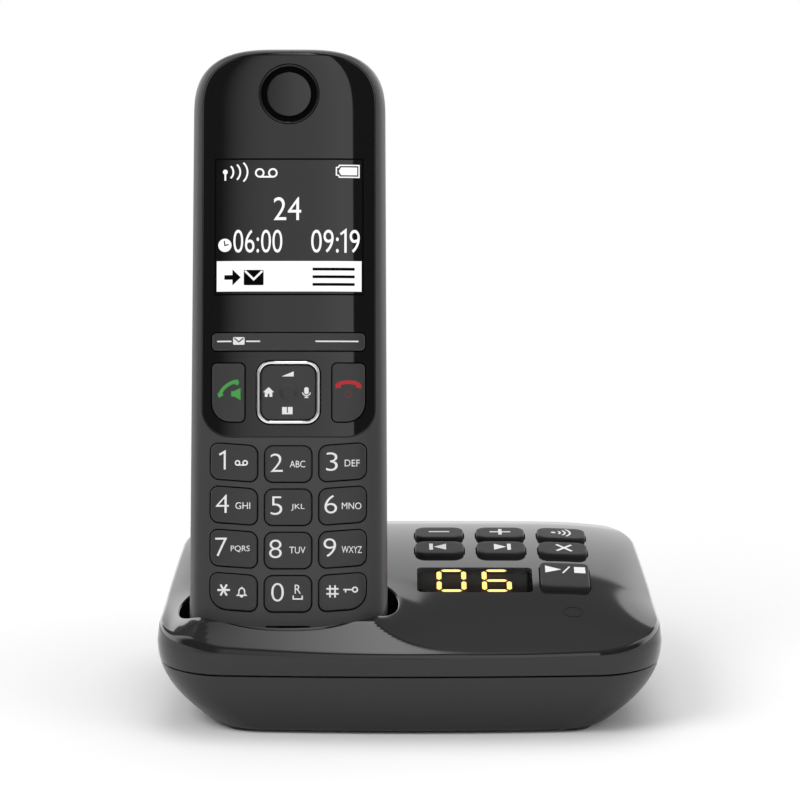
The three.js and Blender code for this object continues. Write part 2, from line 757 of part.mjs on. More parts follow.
screwPlaces.forEach((place) => {
  const head = screwRecess + screwHeadHeight;
  const [socketFloor, tip] = [screwRecess + screwHeadHeight / 2, screwRecess + screwLength];
  const profile = [[0, socketFloor], [screwSocketRadius, socketFloor], [screwSocketRadius, screwRecess],
    [screwHeadRadius, screwRecess], [screwHeadRadius, head], [screwShankRadius, head],
    [screwShankRadius, tip], [0, tip + screwShankRadius]];
  piece(place.name, turned(profile, 12).translate(place.x, place.y, 0), finishes.steel);
});

// Base keys, display and what carries them

baseKeys.forEach((key) => piece(key.name, baseKeySolid(key), finishes.key));

const lensUnderside = solid(baseBody(0, windowThickness, seamHeight));
piece('display_window', windowSlab(0).intersect(without(solid(baseBody(0, 0, seamHeight)), lensUnderside)),
  finishes.lens);

const digitCorner = 1.2;
const digitStroke = 1.7;
const digitRecess = 0.4;
const digitWidthShare = 0.28846;
const digitPitchShare = 0.43462;
const digitMargin = 0.55;
const digitWidth = digitModuleWidth * digitWidthShare;
const digitHeight = digitModuleDepth - digitMargin * 2;
const digitPitch = digitModuleWidth * digitPitchShare;

function digitWell(side) {
  const height = digitHeight + digitStroke;
  const width = digitWidth + digitStroke;
  const well = slab(evenOutline(width, height, digitCorner), digitRecess + cutOverrun);
  return solid(onTop(well.translate(side * digitPitch / 2, 0, -windowThickness - seatGap - digitRecess),
    windowX, windowY));
}

const digitBlock = solid(onTop(slab(evenOutline(digitModuleWidth, digitModuleDepth, windowCorner),
  digitModuleHeight).translate(0, 0, -digitModuleDrop), windowX, windowY));
piece('digit_display', without(digitBlock, digitWell(-1), digitWell(1)), finishes.matte);

const keyBoardWidth = keyBoardRight - keyBoardLeft;
const keyBoardDepth = keyBoardBack - keyBoardFront;
const keyBoardX = (keyBoardRight + keyBoardLeft) / 2;
const keyBoardY = (keyBoardBack + keyBoardFront) / 2;
piece('key_board', solid(onPanel(slab(evenOutline(keyBoardWidth, keyBoardDepth, windowCorner),
  keyBoardThickness).translate(0, 0, -keyBoardThickness), keyBoardX, keyBoardY, boardDrop)), finishes.board);

const matFront = windowY + digitModuleDepth / 2 + cutOverrun;
const playMatLeft = windowX + digitModuleWidth / 2 + cutOverrun;
function matSlab(left, right, front, back) {
  const outline = evenOutline(right - left, back - front, windowCorner);
  return solid(onPanel(slab(outline, keyMatThickness), (left + right) / 2, (front + back) / 2,
    boardDrop - seatGap));
}
const keyMat = joined(matSlab(keyBoardLeft, keyBoardRight, matFront, keyBoardBack),
  matSlab(playMatLeft, keyBoardRight, keyBoardFront, keyBoardBack));
const postHoles = keyPostPlaces.map(([x, y]) => solid(onPanel(
  slab(roundOutline(keyPostRadius + seatGap, 10), boardDrop), x, y, boardDrop)));
piece('base_key_mat', without(keyMat, ...postHoles), finishes.rubber);

// Main board, sockets and loudspeaker

const boardOutline = evenOutline(boardRight - boardLeft, boardBack - boardFront, windowCorner);
const boardPlate = slab(boardOutline, boardThickness)
  .translate((boardLeft + boardRight) / 2, (boardFront + boardBack) / 2, boardUnderside);
piece('base_circuit_board', boardPlate, finishes.board);

const lineCavityWidth = 9.8;
const lineCavityHeight = 6.8;
const lineLatchWidth = 6.2;
const lineLatchHeight = 1.6;
const lineCavityDepth = 12;
const lineZ = socketUnderside + lineSocketHeight / 2;
const lineMouthY = socketBackY + cutOverrun - lineCavityDepth / 2;
const lineCavity = solid(block(lineCavityWidth, lineCavityDepth + cutOverrun, lineCavityHeight, lineSocketX,
  lineMouthY, lineZ));
const latchZ = lineZ - lineCavityHeight / 2;
const lineLatch = solid(block(lineLatchWidth, lineCavityDepth + cutOverrun, lineLatchHeight * 2, lineSocketX,
  lineMouthY, latchZ));
piece('line_socket', without(solid(block(lineSocketWidth, lineSocketDepth, lineSocketHeight, lineSocketX,
  socketBackY - lineSocketDepth / 2, lineZ)), lineCavity, lineLatch), finishes.satin);

const powerBoreRadius = 2.8;
const powerPinRadius = 0.9;
const powerBoreDepth = 9;
const powerZ = socketUnderside + powerSocketHeight / 2;
const powerBore = solid(turned([[0, 0], [powerBoreRadius, 0], [powerBoreRadius, powerBoreDepth + cutOverrun],
  [0, powerBoreDepth + cutOverrun]]).rotateX(-Math.PI / 2)
  .translate(powerSocketX, socketBackY - powerBoreDepth, powerZ));
const powerPin = solid(turned([[0, 0], [powerPinRadius, 0], [powerPinRadius, powerBoreDepth],
  [0, powerBoreDepth + powerPinRadius / 2]], 12).rotateX(-Math.PI / 2)
  .translate(powerSocketX, socketBackY - powerBoreDepth - powerPinRadius, powerZ));
piece('power_socket', without(solid(block(powerSocketWidth, powerSocketDepth, powerSocketHeight, powerSocketX,
  socketBackY - powerSocketDepth / 2, powerZ)), powerBore).add(powerPin), finishes.satin);

const speakerFoot = floorTop + seatGap;
piece('base_loudspeaker', turned([[0, speakerFoot], [speakerRadius, speakerFoot],
  [speakerRadius, speakerFoot + speakerRimHeight], [magnetRadius, speakerFoot + speakerBasketHeight],
  [magnetRadius, speakerFoot + speakerHeight], [0, speakerFoot + speakerHeight]], 24)
  .translate(speakerX, speakerY, 0), finishes.cone);

// Charging contacts, bent from spring strip and standing through the cradle's floor

contactSides.forEach((side) => {
  const profile = new THREE.Shape();
  const [half, low] = [contactReach / 2, -seatGap - pocketWall - seatGap - contactThickness];
  profile.moveTo(-contactFoot, low);
  profile.lineTo(half, low);
  profile.lineTo(half, contactHeight - half);
  profile.quadraticCurveTo(half, contactHeight, 0, contactHeight);
  profile.quadraticCurveTo(-half, contactHeight, -half, contactHeight - half);
  profile.lineTo(-half + contactThickness, contactHeight - half);
  profile.quadraticCurveTo(-half + contactThickness, contactHeight - contactThickness, 0,
    contactHeight - contactThickness);
  profile.quadraticCurveTo(half - contactThickness, contactHeight - contactThickness,
    half - contactThickness, contactHeight - half);
  profile.lineTo(half - contactThickness, low + contactThickness);
  profile.lineTo(-contactFoot, low + contactThickness);
  const strip = slab(profile, contactWidth).rotateX(Math.PI / 2).rotateZ(Math.PI / 2)
    .translate(side * contactX - contactWidth / 2, contactY, 0);
  const label = side < 0 ? 'left' : 'right';
  piece(`charge_contact_${label}`, inCradle(strip), finishes.gold);
});

// Handset keys, on the face

const keypadColumns = 3;
const keypadMargin = 5.425;
const keypadGapX = 1.9;
const keypadGapZ = 1.89;
const keypadPitchShare = 0.06807;
const keypadLowShare = 0.13308;
const keypadKeyWidth = (handsetWidth - keypadMargin * 2 - keypadGapX * (keypadColumns - 1)) / keypadColumns;
const keypadPitchX = keypadKeyWidth + keypadGapX;
const keypadPitchZ = handsetLength * keypadPitchShare;
const keypadKeyHeight = keypadPitchZ - keypadGapZ;
const keypadLowRow = handsetLength * keypadLowShare;
const keypadCorner = 2;
const keypadOuterCorner = 4;
const keypadRise = 0.9;
const keyProud = 0.35;
const keyBevel = 0.3;
const keyBackY = -3.7;
const keyFlange = 0.6;
const keyFlangeThickness = 0.6;

const softBarMargin = 5.65;
const softBarShare = 0.5307;
const callWidthShare = 0.2122;
const callHeightShare = 0.09213;
const callPlaceShare = 0.39257;
const callLevelShare = 0.45042;
const ringWidthShare = 0.4138;
const ringHeightShare = 0.0998;
const softBarWidth = handsetWidth - softBarMargin * 2;
const softBarHeight = 4.35;
const softBarCorner = 1.2;
const softBarZ = handsetLength * softBarShare;
const callKeyWidth = softBarWidth * callWidthShare;
const callKeyHeight = handsetLength * callHeightShare;
const callKeyX = softBarWidth * callPlaceShare;
const callKeyZ = handsetLength * callLevelShare;
const callKeyCorner = 1.2;
const callKeyOuterCorner = 4.6;
const ringWidth = softBarWidth * ringWidthShare;
const ringHeight = handsetLength * ringHeightShare;
const ringCorner = 3.4;
const ringBand = 0.85;
const ringProud = 0.5;
const navigationGap = 0.25;
const pivotRadius = 0.4;

function riseOutwards(shape, width, side) {
  const points = shape.getPoints().map((p) => {
    const outward = (side * p.x + width / 2) / width;
    return new THREE.Vector2(p.x, p.y + (side ? keypadRise * outward : 0));
  });
  return new THREE.Shape(points);
}

function keypadOutline(growth, side, isLast) {
  const outer = (isLast ? keypadOuterCorner : keypadCorner) + growth;
  const even = keypadCorner + growth;
  const radii = side < 0 ? [outer, even, even, even] : [even, side > 0 ? outer : even, even, even];
  const width = keypadKeyWidth + growth * 2;
  return riseOutwards(roundedOutline(width, keypadKeyHeight + growth * 2, radii), width, side);
}

function callOutline(growth, side) {
  const [outer, even] = [callKeyOuterCorner + growth, callKeyCorner + growth];
  const radii = side < 0 ? [outer, even, even, even] : [even, outer, even, even];
  return roundedOutline(callKeyWidth + growth * 2, callKeyHeight + growth * 2, radii);
}

const keypadNames = [['key_star', 'key_0', 'key_hash'], ['key_7', 'key_8', 'key_9'],
  ['key_4', 'key_5', 'key_6'], ['key_1', 'key_2', 'key_3']];
const faceKeys = keypadNames.flatMap((row, rowIndex) => row.map((name, column) => ({
  name,
  x: (column - 1) * keypadPitchX,
  z: keypadLowRow + rowIndex * keypadPitchZ,
  outline: (growth) => keypadOutline(growth, column - 1, rowIndex === 0),
})));
faceKeys.push(
  { name: 'talk_key', x: -callKeyX, z: callKeyZ, outline: (growth) => callOutline(growth, -1) },
  { name: 'end_key', x: callKeyX, z: callKeyZ, outline: (growth) => callOutline(growth, 1) },
  {
    name: 'soft_key_bar',
    x: 0,
    z: softBarZ,
    outline: (growth) => evenOutline(softBarWidth + growth * 2, softBarHeight + growth * 2,
      softBarCorner + growth),
  },
);

const ringOutline = (growth) => (
  evenOutline(ringWidth + growth * 2, ringHeight + growth * 2, ringCorner + growth)
);
const navigationInset = ringBand + navigationGap;
const handsetOuter = solid(handsetBody(0));
const handsetInner = solid(handsetBody(-handsetWall, handsetInsideSteps));
const keyCeiling = solid(handsetBody(keyProud));
const farFront = -handsetFrontDepth - cutOverrun;

// How far the face stands out at a place across it, below the round top and above the round bottom
function faceDepth(x, z, growth) {
  const halfWidth = handsetWidth / 2 - handsetTaper * (z / handsetLength) + growth;
  const share = 1 - Math.abs(x / halfWidth) ** handsetFrontPowerShare;
  return (handsetFrontDepth + growth) * share ** (1 / handsetFrontPowerShare);
}

function faceKeySolid(key) {
  const flangeFront = keyBackY - keyFlangeThickness;
  const ring = (growth, depthAt) => key.outline(growth).getPoints().map((p) => {
    const [x, z] = [p.x + key.x, p.y + key.z];
    return new THREE.Vector3(x, depthAt(x, z), z);
  });
  const levels = [ring(keyFlange, () => keyBackY), ring(keyFlange, () => flangeFront),
    ring(0, () => flangeFront), ring(0, (x, z) => -faceDepth(x, z, keyProud - keyBevel)),
    ring(-keyBevel, (x, z) => -faceDepth(x, z, keyProud))];
  return skin(levels);
}

// The round rib that a rocking key turns on, lying along x
function rockingRib(length) {
  const [half, radius] = [length / 2, pivotRadius];
  return turned([[0, -half], [radius, -half], [radius, half], [0, half]], 12).rotateY(Math.PI / 2);
}

// Front shell, glossy panel, and what sits in them

const panelSetIn = 3;
const panelTopMargin = 1.2;
const panelLowShare = 0.3794;
const panelHalfWidth = handsetWidth / 2 - panelSetIn;
const panelLow = handsetLength * panelLowShare;
const panelHigh = handsetLength - panelTopMargin;
const panelCorner = 7.2;
const panelArch = 15;
const panelThickness = 1;
const panelArchSteps = 14;
const displaySetIn = 3.1;
const displayHeightShare = 0.21689;
const displayLevelShare = 0.72073;
const displayWidth = (panelHalfWidth - displaySetIn) * 2;
const displayHeight = handsetLength * displayHeightShare;
const displayZ = handsetLength * displayLevelShare;
const displayCorner = 0.8;
const displayGlassRim = 1.1;
const displayGlassFront = -4.6;
const displayGlassBack = -2.4;
const earSetDown = 11.6;
const earZ = handsetLength - earSetDown;
const earRadius = 7.4;
const earInnerRadius = 5.45;
const earGroove = 0.7;
const microphoneShare = 0.08061;
const microphoneZ = handsetLength * microphoneShare;
const microphoneSlotWidth = 11;
const microphoneSlotHeight = 0.8;

function panelOutline(growth) {
  const [half, low, high] = [panelHalfWidth + growth, panelLow - growth, panelHigh + growth];
  const [corner, arch] = [panelCorner + growth, panelArch + growth];
  const shape = new THREE.Shape();
  shape.absarc(half - corner, low + corner, corner, -Math.PI / 2, 0);
  for (let i = 0; i <= panelArchSteps; i += 1) {
    const angle = (i / panelArchSteps) * Math.PI;
    const [c, s] = [Math.cos(angle), Math.sin(angle)];
    const x = half * Math.sign(c) * Math.abs(c) ** (2 / archPowerShare);
    shape.lineTo(x, high - arch + arch * Math.abs(s) ** (2 / archPowerShare));
  }
  shape.absarc(-half + corner, low + corner, corner, -Math.PI, -Math.PI / 2);
  return shape;
}

const facePrism = (outline, x, z, toY = 0) => solid(faceSlab(outline, x, z, farFront, toY));
const recessFloor = solid(handsetBody(-panelThickness - seatGap / 2));
const panelUnderside = solid(handsetBody(-panelThickness));
const keyHoles = faceKeys.map((key) => facePrism(key.outline(keyGap), key.x, key.z));
const ringHole = facePrism(ringOutline(seatGap), 0, callKeyZ);
const displayHole = facePrism(evenOutline(displayWidth, displayHeight, displayCorner), 0, displayZ);
const earHole = facePrism(roundOutline(earRadius + seatGap), 0, earZ);
const earPort = facePrism(roundOutline(earInnerRadius), 0, earZ);
const microphoneSlot = facePrism(evenOutline(microphoneSlotWidth, microphoneSlotHeight,
  microphoneSlotHeight / 2), 0, microphoneZ);

const halfBox = (side) => {
  const depth = handsetBackDepthHigh * 2;
  return solid(block(handsetWidth * 2, depth, handsetLength * 2, 0, side * (depth + seatGap) / 2,
    handsetLength / 2));
};
const frontShell = without(handsetOuter, handsetInner).intersect(halfBox(-1));
const panelRecess = facePrism(panelOutline(seatGap / 2), 0, 0).subtract(recessFloor);
piece('handset_front_shell', without(frontShell, panelRecess, ...keyHoles, ringHole, displayHole, earPort,
  microphoneSlot), finishes.matte, handset);
const panelPlate = facePrism(panelOutline(0), 0, 0).intersect(handsetOuter).subtract(panelUnderside);
piece('handset_front_panel', without(panelPlate, ...keyHoles, ringHole, earHole), finishes.gloss, handset);
const softPivot = solid(rockingRib(softBarHeight - softBarCorner).rotateY(Math.PI / 2)
  .translate(0, keyBackY, softBarZ));
faceKeys.forEach((key) => {
  const shape = solid(faceKeySolid(key));
  piece(key.name, key.name === 'soft_key_bar' ? shape.add(softPivot) : shape, finishes.key, handset);
});

const ringPlate = facePrism(ringOutline(0), 0, callKeyZ, keyBackY).intersect(solid(handsetBody(ringProud)));
const ringBore = facePrism(ringOutline(-ringBand), 0, callKeyZ);
piece('navigation_ring', without(ringPlate, ringBore), finishes.chrome, handset);
const navigationCap = facePrism(ringOutline(-navigationInset), 0, callKeyZ, keyBackY).intersect(keyCeiling);
const dimpleRadius = 1.8;
const dimpleDepth = 0.3;
const dimpleFloor = dimpleDepth - handsetFrontDepth - keyProud;
const dimple = facePrism(roundOutline(dimpleRadius), 0, callKeyZ, dimpleFloor);
const navigationPivot = solid(rockingRib(ringWidth - navigationInset * 2 - ringCorner)
  .translate(0, keyBackY, callKeyZ));
piece('navigation_key', without(navigationCap.add(navigationPivot), dimple), finishes.key, handset);

const earFloor = -handsetFrontDepth + panelThickness;
const earProfile = [[0, 0], [earRadius, 0], [earRadius, panelThickness],
  [earRadius - earGroove, panelThickness], [earInnerRadius + earGroove, panelThickness - earGroove],
  [earInnerRadius, panelThickness - earGroove],
  [earInnerRadius - earGroove, panelThickness - seatGap], [0, panelThickness - seatGap / 2]];
piece('earpiece_cap', turned(earProfile, 24).rotateX(Math.PI / 2).translate(0, earFloor, earZ),
  finishes.gloss, handset);

// Handset inside: display glass, boards, receiver, microphone

piece('handset_display', faceSlab(evenOutline(displayWidth + displayGlassRim * 2,
  displayHeight + displayGlassRim * 2, displayCorner), 0, displayZ, displayGlassFront, displayGlassBack),
finishes.glass, handset);

const handsetBoardFront = -2.1;
const handsetBoardThickness = 1;
const handsetBoardMargin = 6;
const handsetBoardHalfWidth = handsetWidth / 2 - handsetBoardMargin;
const handsetBoardLow = 9;
const handsetBoardSetDown = 9.3;
const handsetBoardHigh = handsetLength - handsetBoardSetDown;
const handsetMatFront = -2.9;
const handsetMatBack = -2.4;
const handsetMatMargin = 4.5;
const handsetMatHalfWidth = handsetWidth / 2 - handsetMatMargin;
const microphoneRadius = 2.6;
const handsetMatLow = microphoneZ + microphoneRadius + seatGap;
const handsetMatOverlap = 3.55;
const handsetMatHigh = softBarZ + handsetMatOverlap;
const slabBetween = (halfWidth, low, high, front, back, corner) => (
  faceSlab(evenOutline(halfWidth * 2, high - low, corner), 0, (low + high) / 2, front, back)
);
piece('handset_circuit_board', slabBetween(handsetBoardHalfWidth, handsetBoardLow, handsetBoardHigh,
  handsetBoardFront, handsetBoardFront + handsetBoardThickness, keypadOuterCorner), finishes.board, handset);
piece('handset_key_mat', slabBetween(handsetMatHalfWidth, handsetMatLow, handsetMatHigh, handsetMatFront,
  handsetMatBack, keypadCorner), finishes.rubber, handset);

const receiverRadius = 7;
const receiverFront = -handsetFrontDepth + handsetWall + seatGap;
const receiverBack = handsetBoardFront - seatGap;
piece('earpiece_receiver', faceSlab(roundOutline(receiverRadius), 0, earZ, receiverFront, receiverBack),
  finishes.cone, handset);
piece('microphone', faceSlab(roundOutline(microphoneRadius), 0, microphoneZ, receiverFront, receiverBack),
  finishes.cone, handset);

// Rear shell, battery compartment and door

const doorWidth = 28;
const doorMargin = 6.6;
const doorThickness = 1.5;
const doorCorner = 3;
const doorGap = 0.3;
const ledgeWidth = 1.6;
const ledgeThickness = 1.3;
const cellRadius = 5.25;
const cellLength = 44.5;
const cellLowShare = 0.2815;
const cellLow = handsetLength * cellLowShare;
const cellSideGap = 0.35;
const cellNub = 1;
const cellNubRadius = 1.8;
const trayWall = 1.2;
const trayFloorFront = -0.6;
const trayRoomZ = 1.4;
const trayHalfWidth = cellRadius * 2 + cellSideGap * 2;
const ringerShare = 0.78055;
const ringerZ = handsetLength * ringerShare;
const ringerRadius = 9;
const ringerHeight = 3.6;
const ringerSeat = 0.9;
const ringerSlots = 3;
const ringerSlotLength = 10;
const ringerSlotWidth = 1.3;
const ringerSlotPitch = 3.2;
const farBack = handsetBackDepthHigh + cutOverrun;

const backPrism = (outline, z, fromY = 0) => solid(faceSlab(outline, 0, z, fromY, farBack));
const doorOutline = (growth) => (
  evenOutline(doorWidth + growth * 2, doorHeight + growth * 2, doorCorner + growth)
);
const trayFloorBack = trayFloorFront + trayWall;
const cellY = trayFloorBack + seatGap + cellRadius;
const trayLow = cellLow - trayRoomZ;
const trayHigh = cellLow + cellLength + cellNub + trayRoomZ;
const trayHeight = trayHigh - trayLow;
const trayZ = (trayLow + trayHigh) / 2;
const doorHeight = trayHeight + doorMargin * 2;

const rearSkin = without(handsetOuter, handsetInner).intersect(halfBox(1));
const ledge = backPrism(doorOutline(ledgeWidth), trayZ).intersect(without(
  solid(handsetBody(-doorThickness)), solid(handsetBody(-handsetWall - ledgeThickness))));
const doorFloor = solid(handsetBody(-doorThickness - doorGap));
const doorRecess = backPrism(doorOutline(doorGap), trayZ).subtract(doorFloor);
const trayOutline = (growth) => (
  evenOutline((trayHalfWidth + growth) * 2, trayHeight + growth * 2, trayWall)
);
const tray = backPrism(trayOutline(trayWall), trayZ, trayFloorFront)
  .intersect(solid(handsetBody(-handsetWall - ledgeThickness / 2)));
const trayRoom = backPrism(trayOutline(0), trayZ, trayFloorBack);
const padSlots = contactSides.map((side) => solid(block(contactWidth + contactSlotRoom * 2,
  contactReach + contactSlotRoom * 2, handsetWall * 4, side * contactX, contactY, 0)));
const ringerGrille = Array.from({ length: ringerSlots }, (_, index) => backPrism(
  evenOutline(ringerSlotLength, ringerSlotWidth, ringerSlotWidth / 2),
  ringerZ + (index - (ringerSlots - 1) / 2) * ringerSlotPitch));
piece('handset_rear_shell', without(joined(rearSkin, ledge, tray), doorRecess, trayRoom, ...padSlots,
  ...ringerGrille), finishes.matte, handset);

piece('battery_door', backPrism(doorOutline(0), trayZ).intersect(handsetOuter)
  .subtract(solid(handsetBody(-doorThickness))), finishes.matte, handset);

contactSides.forEach((side) => {
  const label = side < 0 ? 'left' : 'right';
  const cell = turned([[0, 0], [cellRadius, 0], [cellRadius, cellLength], [cellNubRadius, cellLength],
    [cellNubRadius, cellLength + cellNub], [0, cellLength + cellNub]], 16);
  piece(`battery_${label}`, cell.translate(side * (cellRadius + cellSideGap / 2), cellY, cellLow),
    finishes.cell, handset);
});

const padThickness = 0.5;
const padRim = 0.9;
contactSides.forEach((side) => {
  const label = side < 0 ? 'left' : 'right';
  const low = contactHeight + seatGap;
  piece(`charge_pad_${label}`, block(contactWidth + padRim * 2, contactReach + padRim * 2, padThickness,
    side * contactX, contactY, low + padThickness / 2), finishes.gold, handset);
});

const ringerBack = handsetBackDepth(ringerZ) - handsetWall - ringerSeat;
const ringerFront = ringerBack - ringerHeight;
piece('ringer_speaker', faceSlab(roundOutline(ringerRadius), 0, ringerZ, ringerFront, ringerBack),
  finishes.cone, handset);

export default model;
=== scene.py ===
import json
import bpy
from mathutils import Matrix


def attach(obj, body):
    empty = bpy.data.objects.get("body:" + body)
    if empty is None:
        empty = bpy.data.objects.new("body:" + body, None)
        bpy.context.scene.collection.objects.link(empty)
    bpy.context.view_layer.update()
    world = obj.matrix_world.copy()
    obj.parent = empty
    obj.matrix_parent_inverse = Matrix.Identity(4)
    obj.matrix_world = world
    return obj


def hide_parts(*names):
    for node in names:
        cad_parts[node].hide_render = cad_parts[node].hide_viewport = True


bl_info = {
    "name": "Cordless Telephone and Answering Machine",
    "version": (1, 0, 0),
    "blender": (4, 5, 0),
    "location": "View3D > Sidebar > Telephone",
    "description": "Models the shells, keys, displays and marks of a cordless telephone on its base",
    "category": "Add Mesh",
}

from math import cos, exp, hypot, pi, radians, sin, sqrt, tau

import bpy
from bpy.props import FloatProperty, FloatVectorProperty, PointerProperty
from bpy.types import Operator, Panel, PropertyGroup
from mathutils import Vector

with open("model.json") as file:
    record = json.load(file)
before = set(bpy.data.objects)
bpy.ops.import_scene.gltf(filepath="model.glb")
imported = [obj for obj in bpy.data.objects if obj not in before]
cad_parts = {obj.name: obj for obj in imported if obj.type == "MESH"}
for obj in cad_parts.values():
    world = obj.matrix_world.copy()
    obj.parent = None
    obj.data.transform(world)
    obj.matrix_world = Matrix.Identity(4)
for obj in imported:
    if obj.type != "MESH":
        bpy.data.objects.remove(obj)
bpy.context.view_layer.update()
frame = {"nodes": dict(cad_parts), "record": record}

# Forms are drawn in millimetres and turned into metres when their mesh is made.
MM = 0.001


def settings():
    """The sizes and colours of the add-on in this scene."""
    return bpy.context.scene.telephone


def size(name):
    """A size from the settings in millimetres, to a tenth of a micrometre."""
    return round(getattr(settings(), name) / MM, 4)


# ---------------------------------------------------------------- materials


class Wiring:
    """Adds nodes to a tree; an entry is given a value or joined to the output of another node."""

    def __init__(self, tree):
        self.tree = tree

    def fill(self, node, entries):
        for name, value in entries.items():
            if isinstance(value, bpy.types.NodeSocket):
                self.tree.links.new(value, node.inputs[name])
            else:
                node.inputs[name].default_value = value

    def add(self, kind, entries=None, **values):
        node = self.tree.nodes.new(kind)
        for name, value in values.items():
            setattr(node, name, value)
        self.fill(node, entries or {})
        return node

    def maths(self, operation, a, b=0.0, clamp=False):
        return self.add("ShaderNodeMath", {0: a, 1: b}, operation=operation, use_clamp=clamp).outputs[0]

    def product(self, a, *others):
        for b in others:
            a = self.maths("MULTIPLY", a, b)
        return a

    def blend(self, a, b, share):
        return self.maths("ADD", a, self.product(self.maths("SUBTRACT", b, a), share))

    def span(self, value, low, high, start=0.0, end=1.0):
        """A smooth step from start to end while a value runs from low to high."""
        entries = {"Value": value, "From Min": low, "From Max": high, "To Min": start, "To Max": end}
        return self.add("ShaderNodeMapRange", entries, interpolation_type="SMOOTHSTEP").outputs["Result"]

    def sweep(self, angle, low, high, start=0.0, end=1.0):
        """A smooth step over an angle, its limits given in degrees."""
        return self.span(angle, radians(low), radians(high), start, end)

    def shares(self, share, first, second):
        """Two shaders mixed by a share."""
        return self.add("ShaderNodeMixShader", {0: share, 1: first, 2: second}).outputs[0]


def moulded_surface():
    """Grain of a moulded surface and the faint unevenness of its shine and tone."""
    name = "moulded surface"
    if name in bpy.data.node_groups:
        return bpy.data.node_groups[name]
    group = bpy.data.node_groups.new(name, "ShaderNodeTree")
    number, colour = "NodeSocketFloat", "NodeSocketColor"
    for label, kind, value in (
            ("Grain Size", number, 1.0), ("Grain Depth", number, 1.0), ("Roughness", number, 0.3),
            ("Smudge", number, 0.1), ("Tone", number, 0.1), ("Color", colour, (0.02, 0.02, 0.02, 1.0))):
        group.interface.new_socket(label, in_out="INPUT", socket_type=kind).default_value = value
    for label, kind in (("Color", colour), ("Roughness", number), ("Height", number)):
        group.interface.new_socket(label, in_out="OUTPUT", socket_type=kind)
    wire = Wiring(group)
    entry = wire.add("NodeGroupInput").outputs
    place = wire.add("ShaderNodeTexCoord").outputs["Object"]
    fineness = wire.maths("DIVIDE", 1.0, entry["Grain Size"])
    coarse, fine = wire.product(fineness, 1000.0), wire.product(fineness, 1700.0)
    cells = wire.add("ShaderNodeTexVoronoi", {"Vector": place, "Scale": coarse}, feature="SMOOTH_F1")
    grit = wire.add("ShaderNodeTexNoise", {"Vector": place, "Scale": fine, "Detail": 3.0})
    grain = wire.maths("ADD", cells.outputs["Distance"], grit.outputs["Fac"])
    cloud = wire.add("ShaderNodeTexNoise", {"Vector": place, "Scale": 38.0, "Detail": 5.0, "Distortion": 0.6})
    uneven = wire.maths("SUBTRACT", cloud.outputs["Fac"], 0.5)
    shade = wire.maths("ADD", 1.0, wire.product(uneven, entry["Tone"]))
    grey = wire.add("ShaderNodeCombineColor", {"Red": shade, "Green": shade, "Blue": shade})
    tint = wire.add("ShaderNodeMix", {"Factor": 1.0, "A": entry["Color"], "B": grey.outputs["Color"]},
                    data_type="RGBA", blend_type="MULTIPLY")
    wire.add("NodeGroupOutput", {
        "Color": tint.outputs["Result"],
        "Roughness": wire.maths("ADD", entry["Roughness"], wire.product(uneven, entry["Smudge"]), clamp=True),
        "Height": wire.product(grain, entry["Grain Depth"])})
    return group


def made_once(build):
    """Lets a material be built only the first time that its name is asked for."""
    return lambda name, *values, **more: bpy.data.materials.get(name) or build(name, *values, **more)


def blank_material(name):
    """A new material, its wiring and its surface node."""
    material = bpy.data.materials.new(name)
    material.use_nodes = True
    return material, Wiring(material.node_tree), material.node_tree.nodes["Principled BSDF"]


def surfaced(wire, shader, colour, **values):
    """Joins the moulded surface to a shader's colour and roughness, and returns its outputs."""
    surface = wire.add("ShaderNodeGroup", node_tree=moulded_surface())
    wire.fill(surface, {"Color": (*colour, 1.0), **values})
    wire.fill(shader, {"Base Color": surface.outputs["Color"], "Roughness": surface.outputs["Roughness"]})
    return surface.outputs


@made_once
def moulded(name, colour, roughness, grain=0.35, depth=0.0, smudge=0.08, tone=0.1, metallic=0.0,
            specular=0.5):
    """A moulded, painted or plated surface; its grain has a size and a depth in millimetres."""
    material, wire, shader = blank_material(name)
    surface = surfaced(wire, shader, colour, Roughness=roughness, Smudge=smudge, Tone=tone,
                       **{"Grain Size": grain, "Grain Depth": 1.0})
    if depth:
        bump = wire.add("ShaderNodeBump", {"Strength": 1.0, "Distance": depth * MM,
                                           "Height": surface["Height"]})
        wire.fill(shader, {"Normal": bump.outputs["Normal"]})
    wire.fill(shader, {"Metallic": metallic, "Specular IOR Level": specular})
    return material


@made_once
def lit(name, colour, strength):
    """A glowing surface whose light varies a little over it."""
    material, wire, shader = blank_material(name)
    place = wire.add("ShaderNodeTexCoord").outputs["Object"]
    cloud = wire.add("ShaderNodeTexNoise", {"Vector": place, "Scale": 120.0})
    wire.fill(shader, {
        "Emission Strength": wire.span(cloud.outputs["Fac"], 0.2, 0.8, strength * 0.97, strength * 1.03),
        "Emission Color": (*colour, 1.0), "Base Color": (0.02, 0.02, 0.02, 1.0), "Roughness": 0.4})
    return material


@made_once
def smoked(name, tint):
    """A clear window with a dark tint and almost no mirror of its own."""
    material, wire, shader = blank_material(name)
    surfaced(wire, shader, tint, Roughness=0.02, Smudge=0.03)
    wire.fill(shader, {"IOR": 1.06, "Transmission Weight": 1.0})
    return material


